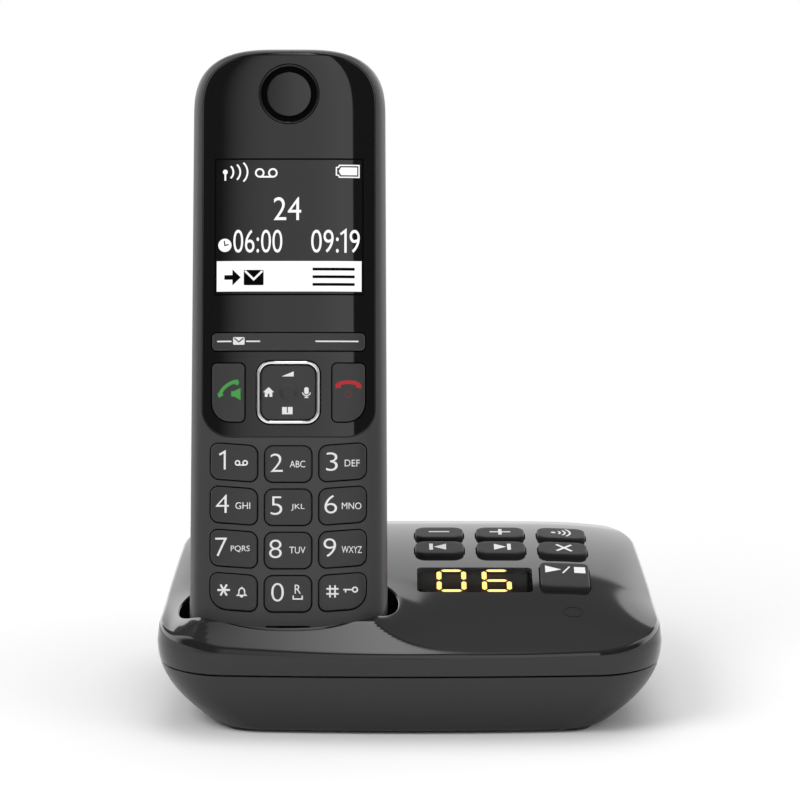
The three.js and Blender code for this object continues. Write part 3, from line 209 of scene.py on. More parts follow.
def finishes():
    """Every material of the model by its short name."""
    look = settings()
    return {
        "gloss": moulded("polished housing", look.housing_colour, 0.07, smudge=0.05),
        "underside": moulded("lower housing", look.housing_colour, 0.3, grain=0.4, depth=0.004, smudge=0.08),
        "matte": moulded("fine matte handset shell", look.handset_colour, 0.42, grain=0.3, depth=0.006),
        "panel": moulded("glossy front panel", (0.004, 0.004, 0.0045), 0.045, smudge=0.03),
        "base_key": moulded("satin base key", (0.024, 0.024, 0.025), 0.5, grain=0.25, depth=0.004,
                            specular=0.1),
        "key": moulded("satin handset key", (0.03, 0.03, 0.031), 0.42, grain=0.25, depth=0.004),
        "rubber": moulded("rubber foot", (0.03, 0.03, 0.03), 0.75, grain=0.5, depth=0.02),
        "steel": moulded("zinc plated steel", (0.55, 0.56, 0.57), 0.32, metallic=1.0, smudge=0.2),
        "contact": moulded("gold plated spring strip", (0.83, 0.63, 0.3), 0.24, metallic=1.0),
        "chrome": moulded("bright chrome trim", (0.93, 0.94, 0.95), 0.08, metallic=1.0, smudge=0.04),
        "board": moulded("green solder resist", (0.02, 0.11, 0.04), 0.35, grain=1.4, tone=0.6),
        "socket": moulded("socket moulding", (0.015, 0.015, 0.015), 0.4, grain=0.4, depth=0.006),
        "speaker": moulded("loudspeaker cone", (0.02, 0.02, 0.02), 0.7, grain=0.9, depth=0.03),
        "cell": moulded("battery sleeve", (0.16, 0.2, 0.24), 0.3, metallic=0.3),
        "module": moulded("display module", (0.012, 0.011, 0.011), 0.5, grain=0.4, depth=0.006),
        "lens": smoked("smoked display lens", (0.3, 0.29, 0.28)),
        "white_print": moulded("white print", (0.74, 0.74, 0.73), 0.5, tone=0.05),
        "dark_print": moulded("black print", (0.003, 0.003, 0.003), 0.6, tone=0.05, specular=0.0),
        "green_print": moulded("green print", (0.05, 0.3, 0.055), 0.5, tone=0.05),
        "red_print": moulded("red print", (0.42, 0.012, 0.016), 0.5, tone=0.05),
        "dark_red_print": moulded("dark red print", (0.13, 0.022, 0.024), 0.5, tone=0.05),
        "lit_white": lit("display backlight", (1.0, 1.0, 1.0), 1.0),
        "amber": lit("amber digit", look.digit_colour, look.digit_strength),
        "glass": moulded("display glass", (0.006, 0.007, 0.007), 0.06, smudge=0.03),
    }


SLOT_FINISH = {
    "gloss_black": "gloss", "satin_black": "underside", "handset_black": "matte", "base_key": "base_key",
    "handset_key": "key", "rubber": "rubber", "steel": "steel", "display_lens": "lens",
    "digit_module": "module", "board": "board", "socket_black": "socket", "speaker": "speaker",
    "contact": "contact", "chrome": "chrome", "display_glass": "glass", "cell": "cell",
}


# ---------------------------------------------------------------- modelling helpers


def ease(value, low, high):
    """A smooth step from 0 to 1."""
    share = min(1.0, max(0.0, (value - low) / (high - low)))
    return share * share * (3.0 - 2.0 * share)


def only(piece):
    """Leaves one object selected and active."""
    bpy.ops.object.select_all(action="DESELECT")
    piece.select_set(True)
    bpy.context.view_layer.objects.active = piece
    return piece


def tidy_mesh(piece):
    """Merges doubled points and turns every face outwards."""
    only(piece)
    bpy.ops.object.mode_set(mode="EDIT")
    bpy.ops.mesh.select_all(action="SELECT")
    bpy.ops.mesh.remove_doubles(threshold=0.001 * MM)
    bpy.ops.mesh.normals_make_consistent(inside=False)
    bpy.ops.object.mode_set(mode="OBJECT")
    return piece


def skin(name, rings):
    """A closed surface through rings of points in millimetres; a ring drawn to one point is a pole."""
    around = len(rings[0])
    bpy.ops.object.select_all(action="DESELECT")
    bpy.ops.mesh.primitive_grid_add(x_subdivisions=around, y_subdivisions=len(rings) - 1, size=1.0)
    piece = bpy.context.object
    piece.name = piece.data.name = name
    places = []
    for ring in rings:
        for step in range(around + 1):
            places.extend(value * MM for value in ring[step % around])
    piece.data.vertices.foreach_set("co", places)
    return tidy_mesh(piece)


def carve(piece, tool, operation="DIFFERENCE"):
    """Cuts, joins or keeps what two closed meshes share, and removes the tool."""
    modifier = only(piece).modifiers.new(operation.lower(), "BOOLEAN")
    modifier.operation = operation
    modifier.solver = "EXACT"
    modifier.object = tool
    bpy.ops.object.modifier_apply(modifier=modifier.name)
    bpy.data.objects.remove(tool, do_unlink=True)
    return piece


def together(name, pieces):
    """Joins objects into the first one."""
    only(pieces[0])
    for piece in pieces[1:]:
        piece.select_set(True)
    if len(pieces) > 1:
        bpy.ops.object.join()
    pieces[0].name = pieces[0].data.name = name
    return pieces[0]


def dress(piece, look, body, nodes=(), angle=32.0):
    """Gives a piece its finish and shading, and mounts it on its body in place of its solids."""
    only(piece)
    piece.data.materials.clear()
    piece.data.materials.append(finishes()[look])
    bpy.ops.object.shade_smooth_by_angle(angle=radians(angle))
    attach(piece, body)
    if nodes:
        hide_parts(*nodes)
    return piece


def rounded_outline(width, height, radii, steps=8, edge_steps=6):
    """A rectangle with rounded corners, the radii running from bottom left round to top left."""
    corners = []
    for index, (side_x, side_y) in enumerate(((-1, -1), (1, -1), (1, 1), (-1, 1))):
        radius = radii[index]
        x, y = side_x * (width / 2 - radius), side_y * (height / 2 - radius)
        arc = []
        for step in range(steps + 1):
            angle = pi + (index + step / steps) * pi / 2
            arc.append((x + radius * cos(angle), y + radius * sin(angle)))
        corners.append(arc)
    points = []
    for index, arc in enumerate(corners):
        points.extend(arc)
        (ax, ay), (bx, by) = arc[-1], corners[(index + 1) % 4][0]
        for step in range(1, edge_steps):
            share = step / edge_steps
            points.append((ax + (bx - ax) * share, ay + (by - ay) * share))
    return points


def even_outline(width, height, radius, steps=8, edge_steps=6, growth=0.0):
    """A rectangle with four equal corners, swelled by a growth."""
    width, height, radius = width + growth * 2, height + growth * 2, radius + growth
    return rounded_outline(width, height, (radius,) * 4, steps, edge_steps)


def round_outline(radius, steps=64):
    """Points of a circle round the origin."""
    return [(radius * cos(tau * step / steps), radius * sin(tau * step / steps)) for step in range(steps)]


def plate(name, outline, front, back, place, centre=(0.0, 0.0), bevel=0.3, rings=8, bevel_steps=4,
          crowd=1.0):
    """A closed plate: an outline for any growth, a front and a back given as depths, and a rounded edge.

    Above 1, crowd draws the rings of the front closer together towards its edge."""
    def at(points, depth, drop=0.0):
        return [place(u, v, depth(u, v) - drop) for u, v in points]

    def shrunk(points, share):
        return [(centre[0] + (u - centre[0]) * share, centre[1] + (v - centre[1]) * share) for u, v in points]

    loops = [at(shrunk(outline(0.0), step / rings), back) for step in range(rings + 1)]
    for step in range(bevel_steps + 1):
        turn = pi / 2 * step / bevel_steps
        loops.append(at(outline(-bevel * (1.0 - cos(turn))), front, bevel * (1.0 - sin(turn))))
    edge = outline(-bevel)
    loops.extend(at(shrunk(edge, 1.0 - (step / rings) ** crowd), front) for step in range(1, rings + 1))
    return skin(name, loops)


def prism(name, points, low, high, place):
    """A straight prism between two depths, drawn at a place."""
    middle = (sum(u for u, v in points) / len(points), sum(v for u, v in points) / len(points))
    ends = [[place(*middle, depth)] * len(points) for depth in (low, high)]
    sides = [[place(u, v, depth) for u, v in points] for depth in (low, high)]
    return skin(name, [ends[0], *sides, ends[1]])


def lathe(name, profile, place, steps=64):
    """A profile of radius and height pairs turned round the third axis of a place."""
    rings = [[place(radius * cos(tau * step / steps), radius * sin(tau * step / steps), height)
              for step in range(steps)] for radius, height in profile]
    return skin(name, rings)


def fillet(points, radius, steps=4):
    """Rounds the inner corners of an open profile."""
    path = [points[0]]
    for before, here, after in zip(points, points[1:], points[2:]):
        a, b, c = Vector(before), Vector(here), Vector(after)
        reach = min(radius, (a - b).length / 2, (c - b).length / 2)
        start, end = b + (a - b).normalized() * reach, b + (c - b).normalized() * reach
        for step in range(steps + 1):
            share = step / steps
            path.append(tuple(start * (1 - share) ** 2 + b * 2 * share * (1 - share) + end * share ** 2))
    return [*path, points[-1]]


# ---------------------------------------------------------------- base form

# The base is drawn round the middle of its foot: x to the right, y to the back and z up.
HALF_WIDTH = 62.3
HALF_DEPTH = 48.0
FRONT_CORNER = 17.5
BACK_CORNER = 30.0
FRONT_BOW = 1.4
SIDE_TAPER = 2.6
CREASE = 21.3
BELT = 21.0
UNDERSIDE = 0.8
SEAM = 15.7
SEAM_HALF_GAP = 0.15
SEAM_EDGE = 0.12
OVERRUN = 2.0
RIDGE_ROUNDING = 0.7
# Centres of the feet, the screws and the round grille under the loudspeaker.
FEET = {"foot_front_left": (-40.0, -34.5), "foot_front_right": (40.0, -34.5),
        "foot_rear_left": (-29.0, 34.0), "foot_rear_right": (29.0, 34.0)}
SCREWS = {"base_screw_rear_left": (-38.0, 27.0), "base_screw_rear_right": (38.0, 27.0),
          "base_screw_front_right": (46.0, -26.0)}
GRILLE = (24.0, 2.0)
GRILLE_RADIUS = 14.0
GRILLE_PITCH = 4.0
# Middle, width and height of the openings for the line and for the power.
SOCKETS = ((6.0, 14.0, 12.2), (27.0, 9.6, 11.2))
SOCKET_FLOOR = 16.2
ENGRAVED_RING = (40.4, -29.2)


def fascia_lift(x, front):
    """How far the steeper strip in front of the cradle lifts the top, up to its ridge and behind it."""
    ridge = min(8.5, 3.3 * exp(-x / 8.6))
    past = front - ridge
    reach = min(max(0.0, front), ridge)
    if abs(past) < RIDGE_ROUNDING:
        reach -= (RIDGE_ROUNDING - abs(past)) ** 2 / (4 * RIDGE_ROUNDING)
    return 0.407 * max(0.0, reach) * (1.0 - ease(past, 0.0, 30.0)) * ease(x, -60.0, -50.0)


def top_height(x, y):
    """Height of the base's top: it rises from the front, falls at the back and rolls off at the sides."""
    front = y + HALF_DEPTH
    rise = 14.8 * (1.0 - (1.0 - min(1.0, front / 75.0)) ** 1.9)
    fall = 6.0 * (max(0.0, y - 27.0) / 21.0) ** 2.2
    roll = 4.2 * ease(front, 4.0, 34.0) * (abs(x) / HALF_WIDTH) ** 6
    return CREASE + rise + fascia_lift(x, front) - fall - roll


def top_normal(x, y):
    """The direction square to the base's top over a place in the plan."""
    step = 0.3
    dx = (top_height(x + step, y) - top_height(x - step, y)) / (2 * step)
    dy = (top_height(x, y + step) - top_height(x, y - step)) / (2 * step)
    return Vector((-dx, -dy, 1.0)).normalized()


def smooth_top(shell):
    """Shades what lies on the base's top surface by that surface's own slope, across the cuts made in it."""
    mesh = shell.data
    normals = []
    for corner in mesh.loops:
        x, y, z = (value / MM for value in mesh.vertices[corner.vertex_index].co)
        slope = top_normal(x, y)
        on_surface = abs(z - top_height(x, y)) < 0.02 and corner.normal.dot(slope) > 0.97
        normals.append(slope if on_surface else (0.0, 0.0, 0.0))
    mesh.normals_split_custom_set(normals)


def bezier(a, b, c, d, steps):
    """Points of a cubic curve, without its first one."""
    points = []
    for step in range(1, steps + 1):
        t = step / steps
        k = 1.0 - t
        points.append(tuple(k ** 3 * p + 3 * k * k * t * q + 3 * k * t * t * r + t ** 3 * s
                            for p, q, r, s in zip(a, b, c, d)))
    return points


def line(a, b, steps):
    """Even points from one place to another, without the first one."""
    return [tuple(p + (q - p) * step / steps for p, q in zip(a, b)) for step in range(1, steps + 1)]


def base_outline():
    """The widest outline of the base, seen from above, starting at the middle of the front."""
    front, back = FRONT_CORNER, BACK_CORNER
    front_y, back_x = FRONT_BOW - HALF_DEPTH, HALF_WIDTH - SIDE_TAPER
    hold = 1.0 - 0.5523  # a quarter circle drawn as one curve
    start = (0.0, -HALF_DEPTH)
    knee = ((HALF_WIDTH - front) / 2, -HALF_DEPTH)
    first = (HALF_WIDTH - front, front_y)
    handles = [tuple(p + (q - p) * 2 / 3 for p, q in zip(end, knee)) for end in (start, first)]
    right = [start]
    right += bezier(start, *handles, first, 60)
    right += bezier(first, (HALF_WIDTH - front * hold, front_y), (HALF_WIDTH, front_y + front * hold),
                    (HALF_WIDTH, front_y + front), 20)
    right += line(right[-1], (back_x, HALF_DEPTH - back), 22)
    right += bezier(right[-1], (back_x, HALF_DEPTH - back * hold), (back_x - back * hold, HALF_DEPTH),
                    (back_x - back, HALF_DEPTH), 28)
    right += line(right[-1], (0.0, HALF_DEPTH), 14)
    return right + [(-x, y) for x, y in reversed(right[1:-1])]


OUTLINE = base_outline()


def wall_point(point, inset, z):
    """A point of the base's side wall at a height; below the belt the wall curves in to the foot."""
    if z >= BELT:
        side = end = 0.12 * (z - BELT)
    else:
        down = (BELT - z) / (BELT - UNDERSIDE)
        side, end = 12.9 * down ** 2.2, 5.0 * down ** 1.5
    x, y = point
    return x * (1.0 - (side + inset) / HALF_WIDTH), y * (1.0 - (end + inset) / HALF_DEPTH), z


def base_rings(inset, drop, bottom, edge=0.8, wall_steps=6, edge_steps=6, top_steps=52, seam_edge=0.0):
    """Rings of the body under the top surface, from the middle of its underside to the middle of its top."""
    def shoulder(point):
        return top_height(*point) - drop - edge

    loops = [[(0.0, 0.0, bottom)] * len(OUTLINE)]
    if seam_edge:
        loops.append([wall_point(p, inset + seam_edge, bottom) for p in OUTLINE])
    for step in range(wall_steps + 1):
        share = step / wall_steps
        loops.append([])
        for p in OUTLINE:
            belt = min(BELT, shoulder(p))
            loops[-1].append(wall_point(p, inset, bottom + seam_edge + (belt - bottom - seam_edge) * share))
    for step in range(1, 5):
        loops.append([])
        for p in OUTLINE:
            belt = min(BELT, shoulder(p) - 0.04)
            loops[-1].append(wall_point(p, inset, belt + (shoulder(p) - belt) * step / 4))
    for step in range(1, edge_steps + 1):
        turn = pi / 2 * step / edge_steps
        loops.append([])
        for p in OUTLINE:
            x, y, z = wall_point(p, inset + edge * (1.0 - cos(turn)), shoulder(p) + edge)
            loops[-1].append((x, y, top_height(x, y) - drop - edge * (1.0 - sin(turn))))
    rim = loops[-1]
    for step in range(1, top_steps + 1):
        share = 1.0 - (step / top_steps) ** 1.4
        loops.append([(x * share, y * share, top_height(x * share, y * share) - drop) for x, y, z in rim])
    return loops


def hull_rings(inset, bottom, top, steps=20, foot_edge=0.0, seam_edge=0.0):
    """Rings of the hull under the seam, from the middle of its floor to the middle of its top."""
    loops = [[(0.0, 0.0, bottom)] * len(OUTLINE)]
    if foot_edge:
        for step in range(4):
            turn = pi / 2 * step / 4
            z = bottom + foot_edge * (1.0 - cos(turn))
            loops.append([wall_point(p, inset + foot_edge * (1.0 - sin(turn)), z) for p in OUTLINE])
    low = bottom + foot_edge
    for step in range(steps + 1):
        z = low + (top - seam_edge - low) * (step / steps) ** 1.4
        loops.append([wall_point(p, inset, z) for p in OUTLINE])
    if seam_edge:
        loops.append([wall_point(p, inset + seam_edge, top) for p in OUTLINE])
    loops.append([(0.0, 0.0, top)] * len(OUTLINE))
    return loops


def plain(x, y, z):
    """Leaves a place as it is."""
    return x, y, z


def on_top(x, y):
    """A place on the top surface: two axes along it and one square to it."""
    turn = Vector((0.0, 0.0, 1.0)).rotation_difference(top_normal(x, y))
    origin = Vector((x, y, top_height(x, y)))
    return lambda u, v, d: tuple(origin + turn @ Vector((u, v, d)))


def along_top(x, y):
    """A place whose outline lies in the tangent plane and whose depth is measured from the curved top."""
    flat = on_top(x, y)

    def place(u, v, d):
        px, py, pz = flat(u, v, 0.0)
        return px, py, top_height(px, py) + d
    return place


# ---------------------------------------------------------------- handset form

LENGTH = 156.3
LEAN = radians(16.0)
# Where the middle of the foot of the handset stands in the base.
CRADLE = (-29.85, -31.95, 11.04)
HALF_HANDSET = 24.5
FACE_DEPTH = 7.8
BACK_DEPTH = 15.0
FACE_POWER = 4.0
BACK_POWER = 2.6
LOW_REACH = 9.0
HIGH_REACH = 17.0
HANDSET_WALL = 1.8
POCKET_HALF = 27.0
POCKET_FRONT = 9.8
POCKET_BACK = 15.6
POCKET_POWER = 2.4
POCKET_FLOOR = -0.3
POCKET_WALL = 1.8
POCKET_TOP = 44.0
FLARE = 3.6
FLARE_LOW = 4.0
FLARE_HIGH = 13.5
RIM_STATION = 30.0
CONTACT = (6.0, 4.6)


def in_cradle(x, y, z):
    """From the handset's own axes to those of the base."""
    side, back, up = CRADLE
    return (side + x, back + y * cos(LEAN) + z * sin(LEAN), up - y * sin(LEAN) + z * cos(LEAN))


def on_face(u, v, d):
    """From across, along and out of the handset's face."""
    return in_cradle(u, -d, v)


def on_back(u, v, d):
    """From across, along and out of the handset's back."""
    return in_cradle(u, d, v)


def rounded(distance, reach, power):
    """Share of the full size at a distance from an end that is rounded over a reach."""
    near = 1.0 - min(1.0, (max(0.0, distance) + 0.35) / (reach + 0.35))
    return (1.0 - near ** power) ** (1.0 / power)


def back_bulge(z):
    """Depth of the handset's back along its middle, a little more towards its top."""
    return 14.2 + 2.0 * ease(z, 14.2, LENGTH - 17.0)


def section(z, growth):
    """Half width and front and back depth of the handset at a height."""
    low, high = -growth, LENGTH + growth
    arch = rounded(z - low, LOW_REACH + growth, 3.0) * rounded(high - z, HIGH_REACH + growth, 3.0)
    foot = rounded(z - low, 5.0 + growth, 2.5)
    face, rear = foot * rounded(high - z, 2.4 + growth, 2.5), foot * rounded(high - z, 5.0 + growth, 2.5)
    half = HALF_HANDSET - 0.7 * z / LENGTH + growth
    return half * arch, (FACE_DEPTH + growth) * face, (back_bulge(z) + growth) * rear


def face_depth(growth):
    """Depth of the handset's face, swelled by a growth, at each place on it."""
    def depth(u, v):
        half, front, back = section(v, growth)
        return front * max(0.0, 1.0 - min(1.0, abs(u) / half) ** FACE_POWER) ** (1.0 / FACE_POWER)
    return depth


def back_depth(growth):
    """Depth of the handset's back, swelled by a growth, at each place on it."""
    def depth(u, v):
        half, front, back = section(v, growth)
        return back * max(0.0, 1.0 - min(1.0, abs(u) / half) ** BACK_POWER) ** (1.0 / BACK_POWER)
    return depth


def key_tops():
    """Depth of the tops of the handset's keys."""
    return face_depth(size("face_key_height"))


def flat_depth(value):
    """The same depth everywhere."""
    return lambda u, v: value


def lobe(half, front, back, front_power, back_power, turns):
    """Points of a section whose front and back halves are lobes of their own power."""
    ring = []
    for turn in turns:
        c, s = cos(turn), sin(turn)
        power, depth = (front_power, front) if s < 0 else (back_power, back)
        x = half * (1 if c > 0 else -1) * abs(c) ** (2.0 / power)
        ring.append((x, depth * (1 if s > 0 else -1) * abs(s) ** (2.0 / power)))
    return ring


def even_turns(half, front, back, front_power, back_power, steps):
    """Turns that space the points of a section evenly."""
    fine = [tau * step / 6000 for step in range(6000)]
    points = lobe(half, front, back, front_power, back_power, fine)
    lengths = [0.0]
    for a, b in zip(points, points[1:] + points[:1]):
        lengths.append(lengths[-1] + hypot(b[0] - a[0], b[1] - a[1]))
    turns, index = [], 0
    for half_index in range(2):
        low, high = (0, 3000) if half_index == 0 else (3000, 6000)
        span = lengths[high] - lengths[low]
        for step in range(steps // 2):
            wanted = lengths[low] + span * step / (steps // 2)
            while lengths[index + 1] < wanted:
                index += 1
            share = (wanted - lengths[index]) / (lengths[index + 1] - lengths[index])
            turns.append(tau * (index + share) / 6000)
    return turns


def body_rings(growth, around=176, low_steps=14, span_steps=16, high_steps=24):
    """Rings of the handset's body, swelled by a growth or drawn in by a negative one."""
    low, high = -growth, LENGTH + growth
    low_reach, high_reach = LOW_REACH + growth, HIGH_REACH + growth
    stations = [low + low_reach * (step / low_steps) ** 2 for step in range(low_steps + 1)]
    start, end = low + low_reach, high - high_reach
    stations += [start + (end - start) * step / span_steps for step in range(1, span_steps)]
    stations += [high - high_reach * (step / high_steps) ** 2 for step in range(high_steps, -1, -1)]
    turns = even_turns(HALF_HANDSET, FACE_DEPTH, BACK_DEPTH, FACE_POWER, BACK_POWER, around)
    loops = []
    for z in stations:
        ring = lobe(*section(z, growth), FACE_POWER, BACK_POWER, turns)
        loops.append([in_cradle(x, y, z) for x, y in ring])
    return [[in_cradle(0.0, 0.0, low)] * around, *loops, [in_cradle(0.0, 0.0, high)] * around]


def pocket_section(z, growth):
    """Half width and front and back depth of the cradle's pocket at a height; it flares towards its rim."""
    low = POCKET_FLOOR - growth
    arch, roll = rounded(z - low, LOW_REACH + growth, 3.0), rounded(z - low, 5.0 + growth, 2.5)
    flare = FLARE * ease(z, FLARE_LOW, FLARE_HIGH)
    front, back = POCKET_FRONT + flare + growth, POCKET_BACK + growth
    return (POCKET_HALF + growth) * arch, front * roll, back * roll


def rim_height(x, y):
    """Where a line up the pocket meets the base's top."""
    below, above = 2.0, POCKET_TOP
    for _ in range(30):
        middle = (below + above) / 2
        px, py, pz = in_cradle(x, y, middle)
        if pz < top_height(px, max(py, -HALF_DEPTH)):
            below = middle
        else:
            above = middle
    return above


def pocket_rings(growth, rim=0.0, around=128):
    """Rings of the cradle's pocket; a rim rounds its edge where it meets the top surface."""
    low, reach = POCKET_FLOOR - growth, LOW_REACH + growth
    turns = even_turns(POCKET_HALF, POCKET_FRONT, POCKET_BACK, POCKET_POWER, POCKET_POWER, around)

    def ring(z, swell):
        return lobe(*pocket_section(z, swell), POCKET_POWER, POCKET_POWER, turns)

    def to_rim(swell, drop, lift):
        loops.append([in_cradle(x, y, rim_height(x, y) - drop + lift) for x, y in ring(RIM_STATION, swell)])

    stations = [low + reach * (step / 14) ** 2 for step in range(15)]
    stations += [low + reach + (FLARE_HIGH - low - reach) * step / 5 for step in range(1, 6)]
    loops = [[in_cradle(0.0, 0.0, low)] * around]
    loops += [[in_cradle(x, y, z) for x, y in ring(z, growth)] for z in stations]
    if rim:
        for step in range(7):
            turn = pi / 2 * step / 6
            to_rim(growth + rim * (1.0 - cos(turn)), rim * (1.0 - sin(turn)), 0.02)
        to_rim(growth + rim * 1.8, 0.0, 0.3)
    mouth = ring(RIM_STATION, growth + rim * 1.8)
    loops.append([in_cradle(x, y, POCKET_TOP) for x, y in mouth])
    loops.append([in_cradle(0.0, 0.0, POCKET_TOP)] * around)
    return loops


# ---------------------------------------------------------------- keys, windows and what they share

# Body, centre, width, depth and corner radius of each base key.
BASE_KEYS = {
    "key_volume_down": ("volume_down", 7.7, 16.6, 12.4, 9.0, 2.8),
    "key_volume_up": ("volume_up", 23.4, 16.6, 12.4, 9.0, 2.8),
    "key_paging": ("paging", 39.1, 16.6, 12.4, 9.0, 2.8),
    "key_back": ("back", 7.7, 4.9, 12.4, 9.0, 2.8),
    "key_forward": ("forward", 23.4, 4.9, 12.4, 9.0, 2.8),
    "key_delete": ("delete", 39.1, 4.9, 12.4, 9.0, 2.8),
    "key_play_stop": ("play_stop", 39.0, -11.8, 12.3, 14.0, 1.6),
}
# Gaps round the keys and the window, the window's middle, and where the handset's keys end.
KEY_GAP = 0.3
WINDOW = (16.4, -12.9)
WINDOW_GAP = 0.15
KEY_BACK = 3.7
# Places on the handset's face or back, across and along it.
KEY_PITCH = (13.35, 10.64)
KEY_ROW = 20.8
CALL_X = 14.8
CALL_Z = 70.4
EARPIECE_Z = 144.7
PANEL_Z = 107.0
PANEL_SEAT = 1.15
DOOR_Z = 66.75
DOOR_SEAT = 1.6
# From within the handset's wall to well outside it.
OPENING_DEPTHS = (2.5, 16.0)


def window_outline(growth, edge_steps=6):
    """The message window's outline, or its opening's when it is grown."""
    width, depth = size("window_width"), size("window_depth")
    return even_outline(width, depth, 1.2, edge_steps=edge_steps, growth=growth)


def base_key_outline(name, growth):
    """A base key's outline, or its opening's when it is grown."""
    width, depth, corner = BASE_KEYS[name][3:]
    return even_outline(width, depth, corner, growth=growth)


def keypad_outline(growth, side, last):
    """A number key's outline: the outer keys slant, and the last row's are rounder outside."""
    outer, even = (4.0 if last else 2.0) + growth, 2.0 + growth
    radii = (outer, even, even, even) if side < 0 else (even, outer if side > 0 else even, even, even)
    width = 11.45 + growth * 2
    points = rounded_outline(width, 8.75 + growth * 2, radii)
    if not side:
        return points
    return [(u, v + 0.9 * (side * u + width / 2) / width) for u, v in points]


def call_outline(growth, side):
    """The outline of the talk key or the end key, rounder at its outer lower corner."""
    outer, even = 4.6 + growth, 1.2 + growth
    radii = (outer, even, even, even) if side < 0 else (even, outer, even, even)
    return rounded_outline(8.0 + growth * 2, 14.4 + growth * 2, radii)


def face_keys():
    """Name, body, centre and outline of every key on the handset's face apart from the middle one."""
    keys = []
    rows = ((("key_star", "star"), ("key_0", "zero"), ("key_hash", "hash")),
            (("key_7", "seven"), ("key_8", "eight"), ("key_9", "nine")),
            (("key_4", "four"), ("key_5", "five"), ("key_6", "six")),
            (("key_1", "one"), ("key_2", "two"), ("key_3", "three")))
    for row, names in enumerate(rows):
        for side, (name, body) in zip((-1, 0, 1), names):
            keys.append((name, body, side * KEY_PITCH[0], KEY_ROW + row * KEY_PITCH[1],
                         lambda growth, side=side, last=row == 0: keypad_outline(growth, side, last)))
    for name, body, side in (("talk_key", "talk", -1), ("end_key", "end", 1)):
        keys.append((name, body, side * CALL_X, CALL_Z,
                     lambda growth, side=side: call_outline(growth, side)))
    keys.append(("soft_key_bar", "soft_keys", 0.0, 82.95,
                 lambda growth: even_outline(37.7, 4.35, 1.2, edge_steps=24, growth=growth)))
    return keys


def moved(points, x, z):
    """An outline moved to another middle."""
    return [(u + x, v + z) for u, v in points]


def ring_outline(growth):
    """The outer outline of the ring round the navigation key."""
    return moved(even_outline(15.6, 15.6, 3.4, growth=growth), 0.0, CALL_Z)


def panel_outline(growth):
    """The front panel's outline: rounded corners below and a broad arch above."""
    half, low, high = 21.5 + growth, 59.3 - growth, 155.1 + growth
    corner, arch = 7.2 + growth, 15.0 + growth

    def low_corner(side, start):
        x, z = side * (half - corner), low + corner
        angles = [start + step / 10 * pi / 2 for step in range(11)]
        return [(x + corner * cos(angle), z + corner * sin(angle)) for angle in angles]

    points = low_corner(-1, pi)
    points += line(points[-1], (half - corner, low), 24)[:-1]
    points += low_corner(1, 3 * pi / 2)
    points += line(points[-1], (half, high - arch), 16)[:-1]
    points += [(x, high - arch + z) for x, z in lobe(half, arch, arch, 3.0, 3.0,
                                                     even_turns(half, arch, arch, 3.0, 3.0, 96)[:49])]
    points += line(points[-1], (-half, low + corner), 16)[:-1]
    return points


def door_outline(growth):
    """The battery door's outline."""
    return moved(even_outline(28.0, 61.5, 3.0, edge_steps=20, growth=growth), 0.0, DOOR_Z)


def on_door(width, height, corner):
    """An outline in the middle of the battery door."""
    return moved(even_outline(width, height, corner, 4, 1), 0.0, DOOR_Z)


def contact_outline(side, corner, steps):
    """Opening for a charging contact or its pad."""
    return moved(even_outline(3.6, 4.8, corner, steps, 1), side * CONTACT[0], CONTACT[1])


def handset_half(growth, side, name):
    """The front or the rear half of the handset's body, cut at the seam."""
    body = skin(name, body_rings(growth))
    reach = 60.0
    flat = [(-reach, -reach), (reach, -reach), (reach, LENGTH + reach), (-reach, LENGTH + reach)]
    away = prism("other half", flat, 0.15, -reach, on_face if side == "front" else on_back)
    return carve(body, away)


# ---------------------------------------------------------------- printed marks

PRINT_DEPTH = 0.03
PRINT_RISE = 0.02
# A spacing of cuts so wide that a print stays whole.
WHOLE = 50.0
DIGIT_HEIGHT = 4.55
DIGIT_WEIGHT = -0.012
LETTER_HEIGHT = 1.66
LCD_HEIGHT = 5.7
LCD_WEIGHT = -0.004


def lettering(text, x, z, width, height, weight=0.0):
    """Figures or letters as a thin closed print, fitted to a width and a height round a point."""
    bpy.ops.object.select_all(action="DESELECT")
    bpy.ops.object.text_add(location=(0.0, 0.0, 0.0))
    curve = bpy.context.object.data
    curve.body = text
    curve.extrude = 0.05
    curve.offset = weight
    curve.resolution_u = 5
    bpy.ops.object.convert(target="MESH")
    piece = tidy_mesh(bpy.context.object)
    points = piece.data.vertices
    low = [min(point.co[axis] for point in points) for axis in (0, 1)]
    high = [max(point.co[axis] for point in points) for axis in (0, 1)]
    for point in points:
        u = x + ((point.co.x - low[0]) / (high[0] - low[0]) - 0.5) * width
        v = z + ((point.co.y - low[1]) / (high[1] - low[1]) - 0.5) * height
        point.co = (u * MM, v * MM, (PRINT_RISE if point.co.z > 0 else -PRINT_DEPTH) * MM)
    return piece


def patch(points):
    """A thin print with a plain outline."""
    return prism("print", points, -PRINT_DEPTH, PRINT_RISE, plain)


def box_patch(left, right, low, high):
    """A thin rectangular print."""
    return patch([(left, low), (right, low), (right, high), (left, high)])


def disc(x, z, radius):
    """A thin round print."""
    return patch(moved(round_outline(radius, 32), x, z))


def arc(x, z, radius, start, end, steps=16):
    """Points along an arc, the angles given in degrees."""
    angles = [radians(start + (end - start) * step / steps) for step in range(steps + 1)]
    return [(x + radius * cos(angle), z + radius * sin(angle)) for angle in angles]


